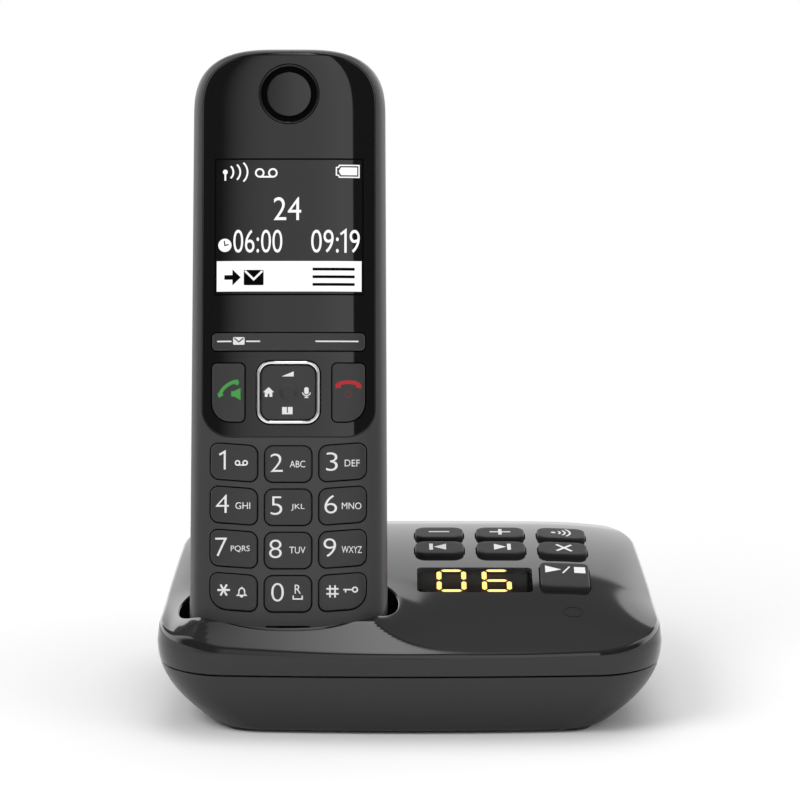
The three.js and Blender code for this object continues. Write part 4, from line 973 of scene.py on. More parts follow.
def stroke(points, width, closed=False):
    """A thin print of even width along a path."""
    rings = []
    for index, point in enumerate(points):
        here = Vector(point)
        before = Vector(points[index - 1]) if index or closed else None
        after = Vector(points[(index + 1) % len(points)]) if index < len(points) - 1 or closed else None
        come = (here - before).normalized() if before else (after - here).normalized()
        leave = (after - here).normalized() if after else come
        along = (come + leave).normalized()
        reach = width / 2 / max(0.35, along.dot(come))
        u, v = -along.y * reach, along.x * reach
        rings.append([(here.x + side * u, here.y + side * v, level) for side, level in (
            (1, PRINT_RISE), (-1, PRINT_RISE), (-1, -PRINT_DEPTH), (1, -PRINT_DEPTH))])
    if closed:
        rings.append(rings[0])
    else:
        rings = [[(*points[0], 0.0)] * 4, *rings, [(*points[-1], 0.0)] * 4]
    return skin("print", rings)


def loop(x, z, radius, width):
    """A thin print in the form of a ring."""
    return stroke(moved(round_outline(radius, 32), x, z), width, closed=True)


def lay(name, shapes, place, depth, body, look, spacing=1.2, lift=0.0):
    """Lays flat prints on a curved surface as one piece, and mounts it on a body."""
    for index, shape in enumerate(shapes):
        for point in shape.data.vertices:
            if point.co.z > 0:
                point.co.z += (lift + index * 0.0008) * MM
    piece = only(together(name, shapes))
    reach = [point.co.x for point in piece.data.vertices]
    bpy.ops.object.mode_set(mode="EDIT")
    for step in range(int(min(reach) / spacing / MM), int(max(reach) / spacing / MM) + 1):
        bpy.ops.mesh.select_all(action="SELECT")
        bpy.ops.mesh.bisect(plane_co=(step * spacing * MM, 0.0, 0.0), plane_no=(1.0, 0.0, 0.0))
    bpy.ops.object.mode_set(mode="OBJECT")
    for point in piece.data.vertices:
        u, v, w = point.co / MM
        point.co = Vector(place(u, v, depth(u, v) + w)) * MM
    return dress(piece, look, body)


def tape(x, z, width, height, weight):
    """Two reels joined by a line."""
    radius, apart = (height - weight) / 2, (width - height) / 2
    shapes = [loop(x + side * apart, z, radius, weight) for side in (-1, 1)]
    return shapes + [stroke([(x - apart, z - radius), (x + apart, z - radius)], weight)]


def bell(x, z):
    """The outline of a small bell with its clapper."""
    dome = [(-1.05, -0.75), (-0.72, -0.35), (-0.68, 0.3), *arc(0.0, 0.3, 0.68, 165, 15, 8), (0.68, 0.3),
            (0.72, -0.35), (1.05, -0.75)]
    return [stroke(moved(dome, x, z), 0.32, closed=True), disc(x, z + 1.12, 0.22),
            patch(moved(arc(0.0, -0.9, 0.42, 180, 360, 8), x, z))]


def padlock_key(x, z):
    """A small key for the lock sign."""
    return [loop(x + 1.1, z, 0.58, 0.36), stroke([(x - 1.75, z), (x + 0.55, z)], 0.36),
            stroke([(x - 1.2, z), (x - 1.2, z - 0.7)], 0.36)]


def asterisk(x, z):
    """Three strokes that cross."""
    shapes = []
    for angle in (0, 60, 120):
        u, v = 1.55 * cos(radians(angle)), 1.55 * sin(radians(angle))
        shapes.append(stroke([(x - u, z - v), (x + u, z + v)], 0.48))
    return shapes


def hash_mark(x, z):
    """Two upright strokes and two level ones."""
    shapes = []
    for side in (-0.62, 0.62):
        shapes.append(stroke([(x + side, z - 1.5), (x + side, z + 1.5)], 0.42))
        shapes.append(stroke([(x - 1.5, z + side), (x + 1.5, z + side)], 0.42))
    return shapes


def envelope(x, z, width, height):
    """The filled body of an envelope."""
    return [patch(moved(even_outline(width, height, 0.3, 4, 1), x, z))]


def flap(x, z, width, height, weight):
    """The two strokes of an envelope's flap."""
    return [stroke([(x - width / 2 + 0.3, z + height / 2 - 0.25), (x, z - height * 0.12),
                    (x + width / 2 - 0.3, z + height / 2 - 0.25)], weight)]


# Digit, its place across and along the key and its width, then the same for the letters beside it
LETTERS = {
    "key_2": ("2", -2.87, 0.3, 3.05, "ABC", 2.27, 0.0, 3.8),
    "key_3": ("3", -2.6, 0.6, 2.85, "DEF", 2.39, 0.27, 3.7),
    "key_4": ("4", -2.84, 0.9, 3.25, "GHI", 2.2, 0.4, 3.65),
    "key_5": ("5", -2.87, 0.4, 2.85, "JKL", 2.4, 0.0, 3.3),
    "key_6": ("6", -2.87, 0.75, 3.1, "MNO", 2.25, 0.37, 4.8),
    "key_7": ("7", -3.1, 0.9, 2.95, "PQRS", 1.6, 0.4, 4.67),
    "key_8": ("8", -3.1, 0.4, 3.1, "TUV", 2.3, 0.1, 3.94),
    "key_9": ("9", -3.1, 0.72, 3.1, "WXYZ", 2.3, 0.25, 4.96),
    "key_1": ("1", -2.84, 0.95, 1.6, "", 0.0, 0.0, 0.0),
    "key_0": ("0", -2.56, 0.4, 3.1, "", 0.0, 0.0, 0.0),
}


def figure_one(x, z, width, height, weight):
    """The figure 1 with its flag, which the plain typeface lacks."""
    stem, top = x + (width - weight) / 2, z + height / 2
    flag = (x - width / 2, top - height * 0.2)
    return stroke([flag, (stem, top - weight * 0.3), (stem, z - height / 2)], weight)


def keypad_print(name, x, z):
    """The shapes printed on a number key."""
    if name == "key_star":
        return asterisk(x - 2.45, z + 0.97) + bell(x + 2.0, z + 0.4)
    if name == "key_hash":
        return hash_mark(x - 2.42, z + 0.62) + padlock_key(x + 2.0, z + 1.06)
    digit, u, v, width, word, word_u, word_v, word_width = LETTERS[name]
    if digit == "1":
        shapes = [figure_one(x + u, z + v, width, DIGIT_HEIGHT, 0.5)]
    else:
        shapes = [lettering(digit, x + u, z + v, width, DIGIT_HEIGHT, DIGIT_WEIGHT)]
    if word:
        shapes.append(lettering(word, x + word_u, z + word_v, word_width, LETTER_HEIGHT))
    if name == "key_1":
        shapes += tape(x + 1.8, z + 0.3, 3.27, 1.4, 0.34)
    if name == "key_0":
        shapes.append(lettering("R", x + 2.4, z + 1.15, 1.5, 2.2))
        tray = [(-1.1, 0.5), (-1.1, -0.35), (1.1, -0.35), (1.1, 0.5)]
        shapes.append(stroke(moved(tray, x + 2.4, z - 0.9), 0.34))
    return shapes


def segment(ax, az, bx, bz, width=1.2):
    """One bar of a lit digit, pointed at both ends."""
    along = (Vector((bx, bz)) - Vector((ax, az))).normalized()
    u, v = -along.y * width / 2, along.x * width / 2
    du, dv = along.x * width / 2, along.y * width / 2
    return patch([(ax, az), (ax + du - u, az + dv - v), (bx - du - u, bz - dv - v), (bx, bz),
                  (bx - du + u, bz - dv + v), (ax + du + u, az + dv + v)])


def lit_digit(number, x):
    """The lit bars of a digit on the message display."""
    half, tall, gap = 3.1, 5.65, 0.5
    bars = {
        "a": (-half + gap, tall, half - gap, tall), "g": (-half + gap, 0.0, half - gap, 0.0),
        "d": (-half + gap, -tall, half - gap, -tall),
        "f": (-half, tall - gap, -half, gap), "b": (half, tall - gap, half, gap),
        "e": (-half, -gap, -half, -tall + gap), "c": (half, -gap, half, -tall + gap),
    }
    lit = {0: "abcdef", 6: "acdefg"}[number]
    return [segment(ax + x, az, bx + x, bz) for ax, az, bx, bz in (bars[bar] for bar in lit)]


# ---------------------------------------------------------------- operators


class TELEPHONE_OT_upper_shell(Operator):
    """Model the polished top of the base with the cradle's pocket and the openings for the keys"""

    bl_idname = "telephone.upper_shell"
    bl_label = "Base Upper Shell"

    def execute(self, context):
        bottom, wall = SEAM + SEAM_HALF_GAP, size("shell_wall")
        shell = skin("base_upper", base_rings(0.0, 0.0, bottom, seam_edge=SEAM_EDGE))
        carve(shell, skin("inner", base_rings(wall, wall, bottom - OVERRUN, top_steps=12)))
        pocket = skin("pocket", pocket_rings(POCKET_WALL))
        carve(pocket, skin("limit", base_rings(2.6, 0.8, 3.4, top_steps=12)), "INTERSECT")
        carve(shell, pocket, "UNION")
        carve(shell, skin("pocket room", pocket_rings(0.0, rim=0.55)))
        tools = [prism("contact slot", contact_outline(side, 0.3, 2), -9.0, 6.0, in_cradle)
                 for side in (-1, 1)]
        for name, (body, x, y, width, depth, corner) in BASE_KEYS.items():
            tools.append(prism("key opening", base_key_outline(name, KEY_GAP), -5.0, 5.0, on_top(x, y)))
        tools.append(prism("window opening", window_outline(WINDOW_GAP), -5.0, 5.0, on_top(*WINDOW)))
        groove = [(2.25, -0.12), (2.5, -0.12), (2.5, 2.0), (2.25, 2.0), (2.25, -0.12)]
        tools.append(lathe("engraved ring", groove, on_top(*ENGRAVED_RING), 48))
        for x, width, height in SOCKETS:
            middle = SOCKET_FLOOR + height / 2
            tools.append(prism("socket opening", even_outline(width, height, 0.6, 4, 1), 33.0, 60.0,
                               lambda u, v, d: (x + u, d, middle + v)))
        carve(shell, together("openings", tools))
        dress(shell, "gloss", "base", ("base_upper_shell",))
        smooth_top(shell)
        return {"FINISHED"}


class TELEPHONE_OT_lower_shell(Operator):
    """Model the hull of the base with its foot recesses, screw holes and loudspeaker grille"""

    bl_idname = "telephone.lower_shell"
    bl_label = "Base Lower Shell"

    def execute(self, context):
        top, wall = SEAM - SEAM_HALF_GAP, size("shell_wall")
        shell = skin("base_lower", hull_rings(0.0, UNDERSIDE, top, foot_edge=0.7, seam_edge=SEAM_EDGE))
        carve(shell, skin("inner", hull_rings(wall, UNDERSIDE + wall, top + OVERRUN, steps=8)))
        tools = []
        for places, radius, steps, depth in ((FEET, 5.3, 48, 1.7), (SCREWS, 2.9, 40, 3.3)):
            for x, y in places.values():
                tools.append(prism("recess", moved(round_outline(radius, steps), x, y), -1.0, depth, plain))
        for index in range(-3, 4):
            y = index * GRILLE_PITCH
            half = sqrt(GRILLE_RADIUS ** 2 - y ** 2)
            slot = moved(even_outline(half * 2, 1.6, 0.79, 6, 1), GRILLE[0], GRILLE[1] + y)
            tools.append(prism("slot", slot, -1.0, 4.0, plain))
        carve(shell, together("recesses", tools))
        profile = ((2.6, top - 2.2), (2.6, top + 1.6), (3.7, top + 1.6), (3.7, top - 2.2), (2.6, top - 2.2))
        lip = skin("lip", [[wall_point(p, inset, z) for p in OUTLINE] for inset, z in profile])
        shell = together("base_lower", [shell, lip])
        dress(shell, "underside", "base", ("base_lower_shell",))
        return {"FINISHED"}


class TELEPHONE_OT_feet_and_screws(Operator):
    """Model the rubber feet and the screws under the base"""

    bl_idname = "telephone.feet_and_screws"
    bl_label = "Feet and Screws"

    def execute(self, context):
        profile = fillet([(0.0, 0.0), (4.75, 0.0), (5.0, 0.45), (5.0, 1.4), (0.0, 1.4)], 0.3)
        for node, (x, y) in FEET.items():
            foot = lathe("rubber_" + node, profile, lambda u, v, d: (u + x, v + y, d))
            dress(foot, "rubber", "base", (node,))
        profile = fillet([(0.0, 1.2), (2.3, 1.2), (2.6, 1.5), (2.6, 3.0), (1.0, 3.0), (1.0, 12.0),
                          (0.0, 13.2)], 0.2)
        for node, (x, y) in SCREWS.items():
            place = lambda u, v, d: (u + x, v + y, d)
            screw = lathe("steel_" + node, profile, place, 40)
            for width, depth in ((2.9, 0.6), (0.6, 2.9)):
                carve(screw, prism("cross slot", even_outline(width, depth, 0.1, 2, 1), 0.0, 2.3, place))
            dress(screw, "steel", "base", (node,))
        return {"FINISHED"}


class TELEPHONE_OT_base_keys(Operator):
    """Model the seven keys of the answering machine"""

    bl_idname = "telephone.base_keys"
    bl_label = "Base Keys"

    def execute(self, context):
        for name, (body, x, y, width, depth, corner) in BASE_KEYS.items():
            place = on_top(x, y)
            key = plate("cap_" + name, lambda growth: base_key_outline(name, growth),
                        flat_depth(size("base_key_height")), flat_depth(-2.4), place, bevel=0.45, rings=4,
                        bevel_steps=5)
            stem = prism("stem", base_key_outline(name, -1.0), -4.8, -2.3, place)
            dress(together("cap_" + name, [key, stem]), "base_key", body, (name,))
        return {"FINISHED"}


class TELEPHONE_OT_message_window(Operator):
    """Model the smoked window over the message digits"""

    bl_idname = "telephone.message_window"
    bl_label = "Message Window"

    def execute(self, context):
        lens = plate("message_window", lambda growth: window_outline(growth, edge_steps=16), flat_depth(0.0),
                     flat_depth(-1.3), along_top(*WINDOW), bevel=0.12, rings=12)
        dress(lens, "lens", "base", ("display_window",))
        return {"FINISHED"}


class TELEPHONE_OT_front_shell(Operator):
    """Model the matte front half of the handset"""

    bl_idname = "telephone.front_shell"
    bl_label = "Handset Front Shell"

    def execute(self, context):
        shell = handset_half(0.0, "front", "handset_front")
        carve(shell, handset_half(-HANDSET_WALL, "front", "inner"))
        carve(shell, plate("panel recess", panel_outline, flat_depth(OPENING_DEPTHS[1]),
                           face_depth(-PANEL_SEAT), on_face, (0.0, PANEL_Z), bevel=0.0, rings=28,
                           bevel_steps=1))
        behind_panel = [moved(even_outline(36.8, 33.9, 0.8), 0.0, 112.65),
                        moved(round_outline(5.45), 0.0, EARPIECE_Z),
                        moved(even_outline(11.0, 0.8, 0.39, 5, 1), 0.0, 12.6)]
        carve(shell, face_openings(behind_panel))
        dress(shell, "matte", "handset", ("handset_front_shell",))
        return {"FINISHED"}


def face_openings(more):
    """Cutters for the holes of the face's keys, and for more outlines."""
    outlines = [moved(outline(KEY_GAP), x, z) for name, body, x, z, outline in face_keys()]
    return together("openings", [prism("opening", outline, *OPENING_DEPTHS, on_face)
                                 for outline in outlines + [ring_outline(0.28)] + more])


class TELEPHONE_OT_front_panel(Operator):
    """Model the glossy panel that holds the display, the soft keys and the call keys"""

    bl_idname = "telephone.front_panel"
    bl_label = "Handset Front Panel"

    def execute(self, context):
        panel = plate("front_panel", panel_outline, face_depth(0.0), face_depth(-1.0), on_face,
                      (0.0, PANEL_Z), bevel=0.35, rings=40, crowd=1.6)
        carve(panel, face_openings([moved(round_outline(7.62), 0.0, EARPIECE_Z)]))
        dress(panel, "panel", "handset", ("handset_front_panel",))
        return {"FINISHED"}


class TELEPHONE_OT_earpiece(Operator):
    """Model the dished cap of the earpiece, with a black ring of painted shade in its groove"""

    bl_idname = "telephone.earpiece"
    bl_label = "Earpiece Cap"

    def execute(self, context):
        place = lambda u, v, d: on_face(u, v + EARPIECE_Z, d)
        profile = [(0.0, 6.8), (7.4, 6.8), (7.4, 7.8), (6.95, 7.72), (6.85, 6.92), (5.6, 6.92), (5.5, 7.62),
                   (0.0, 7.55)]
        cap = lathe("earpiece", fillet(profile, 0.16), place, 96)
        dress(cap, "panel", "handset", ("earpiece_cap",))
        # A matte black ring laid on the floor of the groove: painted shade for the dark depth of the groove.
        groove = [(5.56, 6.85), (6.88, 6.85), (6.88, 7.1), (5.56, 7.1), (5.56, 6.85)]
        mesh = lathe("earpiece_mesh", groove, place, 96)
        dress(mesh, "dark_print", "handset")
        return {"FINISHED"}


class TELEPHONE_OT_rear_shell(Operator):
    """Model the rear half of the handset with its battery compartment and ringer slots"""

    bl_idname = "telephone.rear_shell"
    bl_label = "Handset Rear Shell"

    def execute(self, context):
        def door_plate(name, growth, front, back):
            return plate(name, lambda more: door_outline(growth + more), front, back, on_back, (0.0, DOOR_Z),
                         bevel=0.0, rings=14, bevel_steps=1)

        shell = handset_half(0.0, "rear", "handset_rear")
        carve(shell, handset_half(-HANDSET_WALL, "rear", "inner"))
        carve(shell, door_plate("ledge", DOOR_SEAT, back_depth(-DOOR_SEAT), back_depth(-3.1)), "UNION")
        carve(shell, prism("tray", on_door(24.1, 50.7, 1.2), -0.6, 10.8, on_back), "UNION")
        carve(shell, door_plate("door recess", 0.25, flat_depth(22.0), back_depth(-1.8)))
        tools = [prism("tray room", on_door(21.7, 48.3, 1.2), 0.6, 30.0, on_back)]
        for z in (118.8, 122.0, 125.2):
            slot = moved(even_outline(10.0, 1.3, 0.64, 6, 1), 0.0, z)
            tools.append(prism("ringer slot", slot, 6.0, 30.0, on_back))
        for side in (-1, 1):
            tools.append(prism("pad opening", contact_outline(side, 0.4, 3), -4.0, 7.2, in_cradle))
        carve(shell, together("openings", tools))
        dress(shell, "matte", "handset", ("handset_rear_shell",))
        return {"FINISHED"}


class TELEPHONE_OT_battery_door(Operator):
    """Model the battery door with its finger grip"""

    bl_idname = "telephone.battery_door"
    bl_label = "Battery Door"

    def execute(self, context):
        door = plate("door", door_outline, back_depth(0.0), back_depth(-1.5), on_back, (0.0, DOOR_Z),
                     bevel=0.25, rings=20)
        for index in range(4):
            z = 88.6 + index * 1.7
            groove = moved(even_outline(11.0 - index * 1.6, 0.7, 0.34, 5, 1), 0.0, z)
            carve(door, prism("finger groove", groove, back_bulge(z) - 0.35, 30.0, on_back))
        dress(door, "matte", "door", ("battery_door",))
        return {"FINISHED"}


class TELEPHONE_OT_face_keys(Operator):
    """Model the number keys, the call keys and the soft key bar"""

    bl_idname = "telephone.face_keys"
    bl_label = "Handset Keys"

    def execute(self, context):
        for name, body, x, z, outline in face_keys():
            key = plate("cap_" + name, lambda growth: moved(outline(growth), x, z), key_tops(),
                        flat_depth(KEY_BACK), on_face, (x, z), bevel=0.3, rings=6)
            dress(key, "key", body, (name,))
        return {"FINISHED"}


class TELEPHONE_OT_navigation_key(Operator):
    """Model the middle key with its dimple, and the bright ring round it"""

    bl_idname = "telephone.navigation_key"
    bl_label = "Navigation Key and Ring"

    def execute(self, context):
        surface = key_tops()

        def dished(u, v):
            return surface(u, v) - 0.4 * (1.0 - ease(hypot(u, v - CALL_Z), 1.5, 2.2))

        key = plate("cap_navigation_key", lambda growth: ring_outline(growth - 1.1), dished,
                    flat_depth(KEY_BACK), on_face, (0.0, CALL_Z), bevel=0.3, rings=26)
        dress(key, "key", "navigation", ("navigation_key",))

        # The ring's section runs up from its foot, over a half round band and down again.
        crest, radius = face_depth(0.5), 0.425
        band = []
        for step in range(11):
            turn = pi * step / 10
            band.append((-radius * (1.0 - cos(turn)), 0.4 * (1.0 - sin(turn))))
        loops = []
        for growth, drop in [(0.0, None), *band, (-2 * radius, None), (0.0, None)]:
            loops.append([on_face(u, v, KEY_BACK if drop is None else crest(u, v) - drop)
                          for u, v in ring_outline(growth)])
        trim = skin("bright_ring", loops)
        dress(trim, "chrome", "handset", ("navigation_ring",), angle=50.0)
        return {"FINISHED"}


class TELEPHONE_OT_keypad_marks(Operator):
    """Print the digits, letters and signs on the number keys"""

    bl_idname = "telephone.keypad_marks"
    bl_label = "Keypad Marks"

    def execute(self, context):
        surface = key_tops()
        for name, body, x, z, outline in face_keys():
            if name in ("talk_key", "end_key", "soft_key_bar"):
                continue
            lay("print_" + name, keypad_print(name, x, z), on_face, surface, body, "white_print")
        return {"FINISHED"}


class TELEPHONE_OT_call_marks(Operator):
    """Print the signs on the soft key bar, the call keys and the navigation key"""

    bl_idname = "telephone.call_marks"
    bl_label = "Call Key Marks"

    def execute(self, context):
        surface = key_tops()
        z = 83.05
        lines = [stroke([(a, z), (b, z)], 0.36) for a, b in ((-17.6, -14.1), (-10.45, -7.0), (6.65, 17.25))]
        lay("print_soft_keys", lines + envelope(-12.25, z + 0.1, 2.85, 1.9), on_face, surface, "soft_keys",
            "white_print")
        lay("print_soft_flap", flap(-12.25, z + 0.1, 2.85, 1.9, 0.26), on_face, surface, "soft_keys",
            "dark_print", lift=0.012)

        z = CALL_Z
        wedge = [patch([(-1.7, z + 3.95), (1.3, z + 3.95), (1.3, z + 5.2)])]
        house = [patch([(-6.25, z + 0.05), (-3.5, z + 0.05), (-4.87, z + 1.3)]),
                 box_patch(-5.8, -5.1, z - 1.1, z + 0.1), box_patch(-4.65, -3.95, z - 1.1, z + 0.1),
                 box_patch(-5.2, -4.55, z - 0.35, z + 0.1)]
        capsule = [patch(moved(even_outline(1.1, 1.75, 0.5, 5, 1), 4.45, z + 0.42)),
                   stroke(arc(4.45, z + 0.15, 0.98, 190, 350, 12), 0.26),
                   stroke([(4.45, z - 0.8), (4.45, z - 1.25)], 0.3),
                   stroke([(3.95, z - 1.25), (4.95, z - 1.25)], 0.24)]
        book = [box_patch(-1.55, -0.38, z - 5.4, z - 3.6), box_patch(-0.12, 1.05, z - 5.4, z - 3.6),
                box_patch(-0.4, -0.1, z - 5.4, z - 5.05)]
        lay("print_navigation", wedge + house + capsule + book, on_face, surface, "navigation", "white_print")

        x = -CALL_X
        start = (x + 2.45, z + 2.75)
        curve = bezier(start, (x + 0.6, z + 2.75), (x - 1.6, z + 1.2), (x - 2.2, z - 0.75), 14)
        handset = [stroke([start, *curve], 0.85), stroke([(x + 0.95, z + 2.75), (x + 2.15, z + 2.0)], 0.1),
                   patch(moved([(1.3, 3.15), (2.75, 2.55), (2.3, 1.75), (1.25, 2.2)], x, z)),
                   patch(moved([(-2.75, -0.2), (-1.55, 0.1), (-1.2, -0.7), (-2.35, -1.3)], x, z))]
        speaker = [box_patch(x + 0.7, x + 1.4, z - 1.0, z + 0.3),
                   patch(moved([(1.3, -0.95), (3.0, -1.85), (3.0, 1.1), (1.3, 0.3)], x, z))]
        lay("print_talk", handset + speaker, on_face, surface, "talk", "green_print")

        x = CALL_X
        start, end = (x - 2.65, z + 1.95), (x + 2.65, z + 1.95)
        shapes = [stroke([start, *bezier(start, (x - 1.6, z + 2.75), (x + 1.6, z + 2.75), end, 14)], 0.9)]
        for side in (-1, 1):
            cup = [(side * 3.2, 2.1), (side * 1.9, 2.35), (side * 1.85, 1.25), (side * 3.15, 1.0)]
            shapes.append(patch(moved(cup, x, z)))
        lay("print_end", shapes, on_face, surface, "end", "red_print")
        power = [stroke(arc(x, z - 0.35, 0.85, 125, 415, 20), 0.24),
                 stroke([(x, z - 0.35), (x, z + 0.75)], 0.24)]
        lay("print_end_power", power, on_face, surface, "end", "dark_red_print")
        return {"FINISHED"}


class TELEPHONE_OT_lit_display(Operator):
    """Show the figures and signs on the handset's display"""

    bl_idname = "telephone.lit_display"
    bl_label = "Handset Display Figures"

    def execute(self, context):
        surface = face_depth(0.0)
        frame_line = [(-18.2, 94.7), (18.3, 94.7), (18.3, 128.4), (-18.2, 128.4)]
        lay("display_edge", [stroke(frame_line, 0.4, closed=True)], on_face, surface, "handset", "dark_print")
        shapes = [disc(-15.75, 125.2, 0.6), stroke([(-15.75, 125.2), (-15.75, 123.05)], 0.42)]
        for x, tall in ((-14.5, 1.5), (-12.8, 1.9), (-11.0, 2.35)):
            radius = tall * 1.35
            shapes.append(stroke(arc(x - radius + 0.75, 125.15, radius, -47, 47), 0.42))
        shapes += tape(-5.6, 124.95, 5.6, 2.35, 0.42)
        cell = [(12.5, 123.9), (17.35, 123.9), (17.35, 126.85), (12.5, 126.85), (12.3, 126.4), (11.75, 126.3),
                (11.75, 124.45), (12.3, 124.35)]
        shapes.append(stroke(cell, 0.32, closed=True))
        shapes.append(patch([(12.35, 125.4), (12.9, 124.4), (16.9, 124.4), (16.9, 126.35), (12.9, 126.35)]))
        shapes.append(lettering("24", -0.35, 116.05, 6.8, LCD_HEIGHT, LCD_WEIGHT))
        shapes.append(disc(-15.8, 106.95, 1.65))
        line_z = 107.95
        for text, x, width in (("06:00", -7.65, 12.1), ("09:", 8.95, 6.8)):
            shapes.append(lettering(text, x, line_z, width, LCD_HEIGHT, LCD_WEIGHT))
        shapes.append(figure_one(13.55, line_z, 1.5, LCD_HEIGHT, 0.55))
        shapes.append(lettering("9", 16.3, line_z, 2.5, LCD_HEIGHT, LCD_WEIGHT))
        shapes.append(box_patch(-17.8, 18.0, 95.45, 103.0))
        lay("display_figures", shapes, on_face, surface, "handset", "lit_white")
        dark = [stroke([(-15.9, 98.95), (-13.6, 98.95)], 1.15),
                patch([(-13.9, 96.95), (-11.85, 98.95), (-13.9, 100.95)])]
        dark += envelope(-8.65, 98.9, 4.9, 3.8)
        dark += [stroke([(-15.95, 108.05), (-15.8, 106.9), (-14.85, 107.15)], 0.3)]
        dark += [box_patch(5.9, 16.3, level - 0.35, level + 0.35) for level in (97.2, 99.1, 101.0)]
        lay("display_dark_figures", dark, on_face, surface, "handset", "dark_print", lift=0.03)
        lay("display_flap", flap(-8.65, 98.9, 4.9, 3.8, 0.5), on_face, surface, "handset", "lit_white",
            lift=0.05)
        return {"FINISHED"}


class TELEPHONE_OT_base_marks(Operator):
    """Print the signs on the base keys"""

    bl_idname = "telephone.base_marks"
    bl_label = "Base Key Marks"

    def execute(self, context):
        waves = [disc(-2.0, 0.3, 0.62)]
        waves += [stroke(arc(-2.0, 0.3, radius, -42, 42), 0.5) for radius in (1.75, 3.0, 4.3)]
        marks = {
            "key_volume_down": [stroke([(-2.65, 0.4), (2.65, 0.4)], 0.8)],
            "key_volume_up": [stroke([(-2.65, 0.3), (2.65, 0.3)], 0.85),
                              stroke([(0.0, -2.1), (0.0, 2.7)], 0.9)],
            "key_paging": waves,
            "key_back": [box_patch(-2.6, -1.65, -1.9, 2.4),
                         patch([(-1.45, 0.25), (1.7, -1.9), (1.7, 2.4)])],
            "key_forward": [box_patch(1.55, 2.5, -1.9, 2.4),
                            patch([(1.35, 0.25), (-1.8, -1.9), (-1.8, 2.4)])],
            "key_delete": [stroke([(-1.6, -2.0), (2.2, 2.4)], 0.75),
                           stroke([(-1.6, 2.4), (2.2, -2.0)], 0.75)],
            "key_play_stop": [patch([(-4.9, 0.9), (-0.85, 2.9), (-4.9, 4.9)]),
                              stroke([(-0.5, 0.9), (1.3, 4.7)], 0.45), box_patch(2.4, 5.2, 1.2, 4.6)],
        }
        surface = flat_depth(size("base_key_height"))
        for name, shapes in marks.items():
            body, x, y, width, depth, corner = BASE_KEYS[name]
            lay("print_" + name, shapes, on_top(x, y), surface, body, "white_print", spacing=WHOLE)
        return {"FINISHED"}


class TELEPHONE_OT_message_digits(Operator):
    """Light the two amber digits of the message counter"""

    bl_idname = "telephone.message_digits"
    bl_label = "Message Digits"

    def execute(self, context):
        shapes = lit_digit(0, -5.85) + lit_digit(6, 5.5)
        lay("message_digits", shapes, on_top(*WINDOW), flat_depth(-0.4), "base", "amber", spacing=WHOLE)
        return {"FINISHED"}


class TELEPHONE_OT_inner_parts(Operator):
    """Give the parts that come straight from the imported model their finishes"""

    bl_idname = "telephone.inner_parts"
    bl_label = "Inner Parts"

    def execute(self, context):
        looks = finishes()
        for part in frame["record"]["subparts"]:
            node = frame["nodes"][part["node"]]
            node.data.materials.clear()
            node.data.materials.append(looks[SLOT_FINISH[part["material_slot"]]])
        return {"FINISHED"}


class TELEPHONE_OT_stage(Operator):
    """Set up the floor, the studio light and the camera"""

    bl_idname = "telephone.stage"
    bl_label = "Stage"

    def execute(self, context):
        context.scene.view_settings.view_transform = "Standard"
        lay_floor()
        light_room(context.scene)
        hang_lamps(context.scene)
        place_camera(context.scene)
        return {"FINISHED"}


def lay_floor():
    """A pale floor that takes the object's shadow and turns white away from it."""
    bpy.ops.object.select_all(action="DESELECT")
    bpy.ops.mesh.primitive_plane_add(size=60.0, location=(0.0, 0.0, 0.0))
    floor = bpy.context.object
    floor.name = "floor"
    material, wire, shader = blank_material("studio floor")
    wire.fill(shader, {"Base Color": (0.86, 0.86, 0.86, 1.0), "Roughness": 0.9, "Specular IOR Level": 0.0})
    glow = wire.add("ShaderNodeEmission").outputs[0]
    place = wire.add("ShaderNodeTexCoord").outputs["Object"]
    away = wire.add("ShaderNodeVectorMath", {0: place}, operation="LENGTH").outputs["Value"]
    path = wire.add("ShaderNodeLightPath").outputs
    seen = wire.maths("MAXIMUM", path["Is Camera Ray"], path["Is Glossy Ray"])
    seen = wire.maths("MAXIMUM", seen, path["Is Transmission Ray"])
    mixed = wire.shares(wire.product(seen, wire.span(away, 0.1, 0.3)), shader.outputs[0], glow)
    wire.fill(material.node_tree.nodes["Material Output"], {"Surface": mixed})
    floor.data.materials.append(material)


def mirrored_room(wire):
    """Brightness of the studio as the polished surfaces mirror it, by the direction they look in."""
    facing = wire.add("ShaderNodeTexCoord").outputs["Generated"]
    x, y, z = wire.add("ShaderNodeSeparateXYZ", {0: facing}).outputs
    height = wire.maths("ARCSINE", z)
    sideways = wire.maths("ARCTAN2", x, y)
    aside = wire.maths("ABSOLUTE", sideways)

    # The bright wall behind the object, and the dark gap between it and the ceiling
    wall = wire.sweep(aside, 10, 22, 2.0, 3.4)
    edge = wire.maths("ADD", wire.sweep(sideways, 3, 5, radians(4.6), 0.0),
                      wire.sweep(sideways, -26, -23, radians(-14.6), 0.0))
    gap = wire.product(wire.sweep(wire.maths("SUBTRACT", height, edge), 34.3, 35.8),
                       wire.sweep(aside, 60, 75, 1.0, 0.0))
    back = wire.blend(wall, wire.sweep(height, 42, 60, 0.3, 0.5), gap)

    # The side towards the viewer, dark but for one tall card
    turn = wire.maths("ARCTAN2", x, wire.product(y, -1.0))
    card = wire.product(wire.sweep(turn, -22, 8), wire.sweep(turn, 12.6, 13.4, 1.0, 0.0),
                        wire.sweep(height, 4, 10), wire.sweep(height, 44, 52, 1.0, 0.0))
    ahead = wire.maths("ADD", 0.12, wire.product(card, 1.7))

    # The ceiling, with a bright strip that runs over the object from front to back
    overhead = wire.span(wire.maths("ABSOLUTE", x), -0.03, 0.07, 6.8, 0.3)
    around = wire.blend(ahead, back, wire.span(y, -0.25, 0.15))
    return wire.blend(around, overhead, wire.sweep(height, 61, 69))


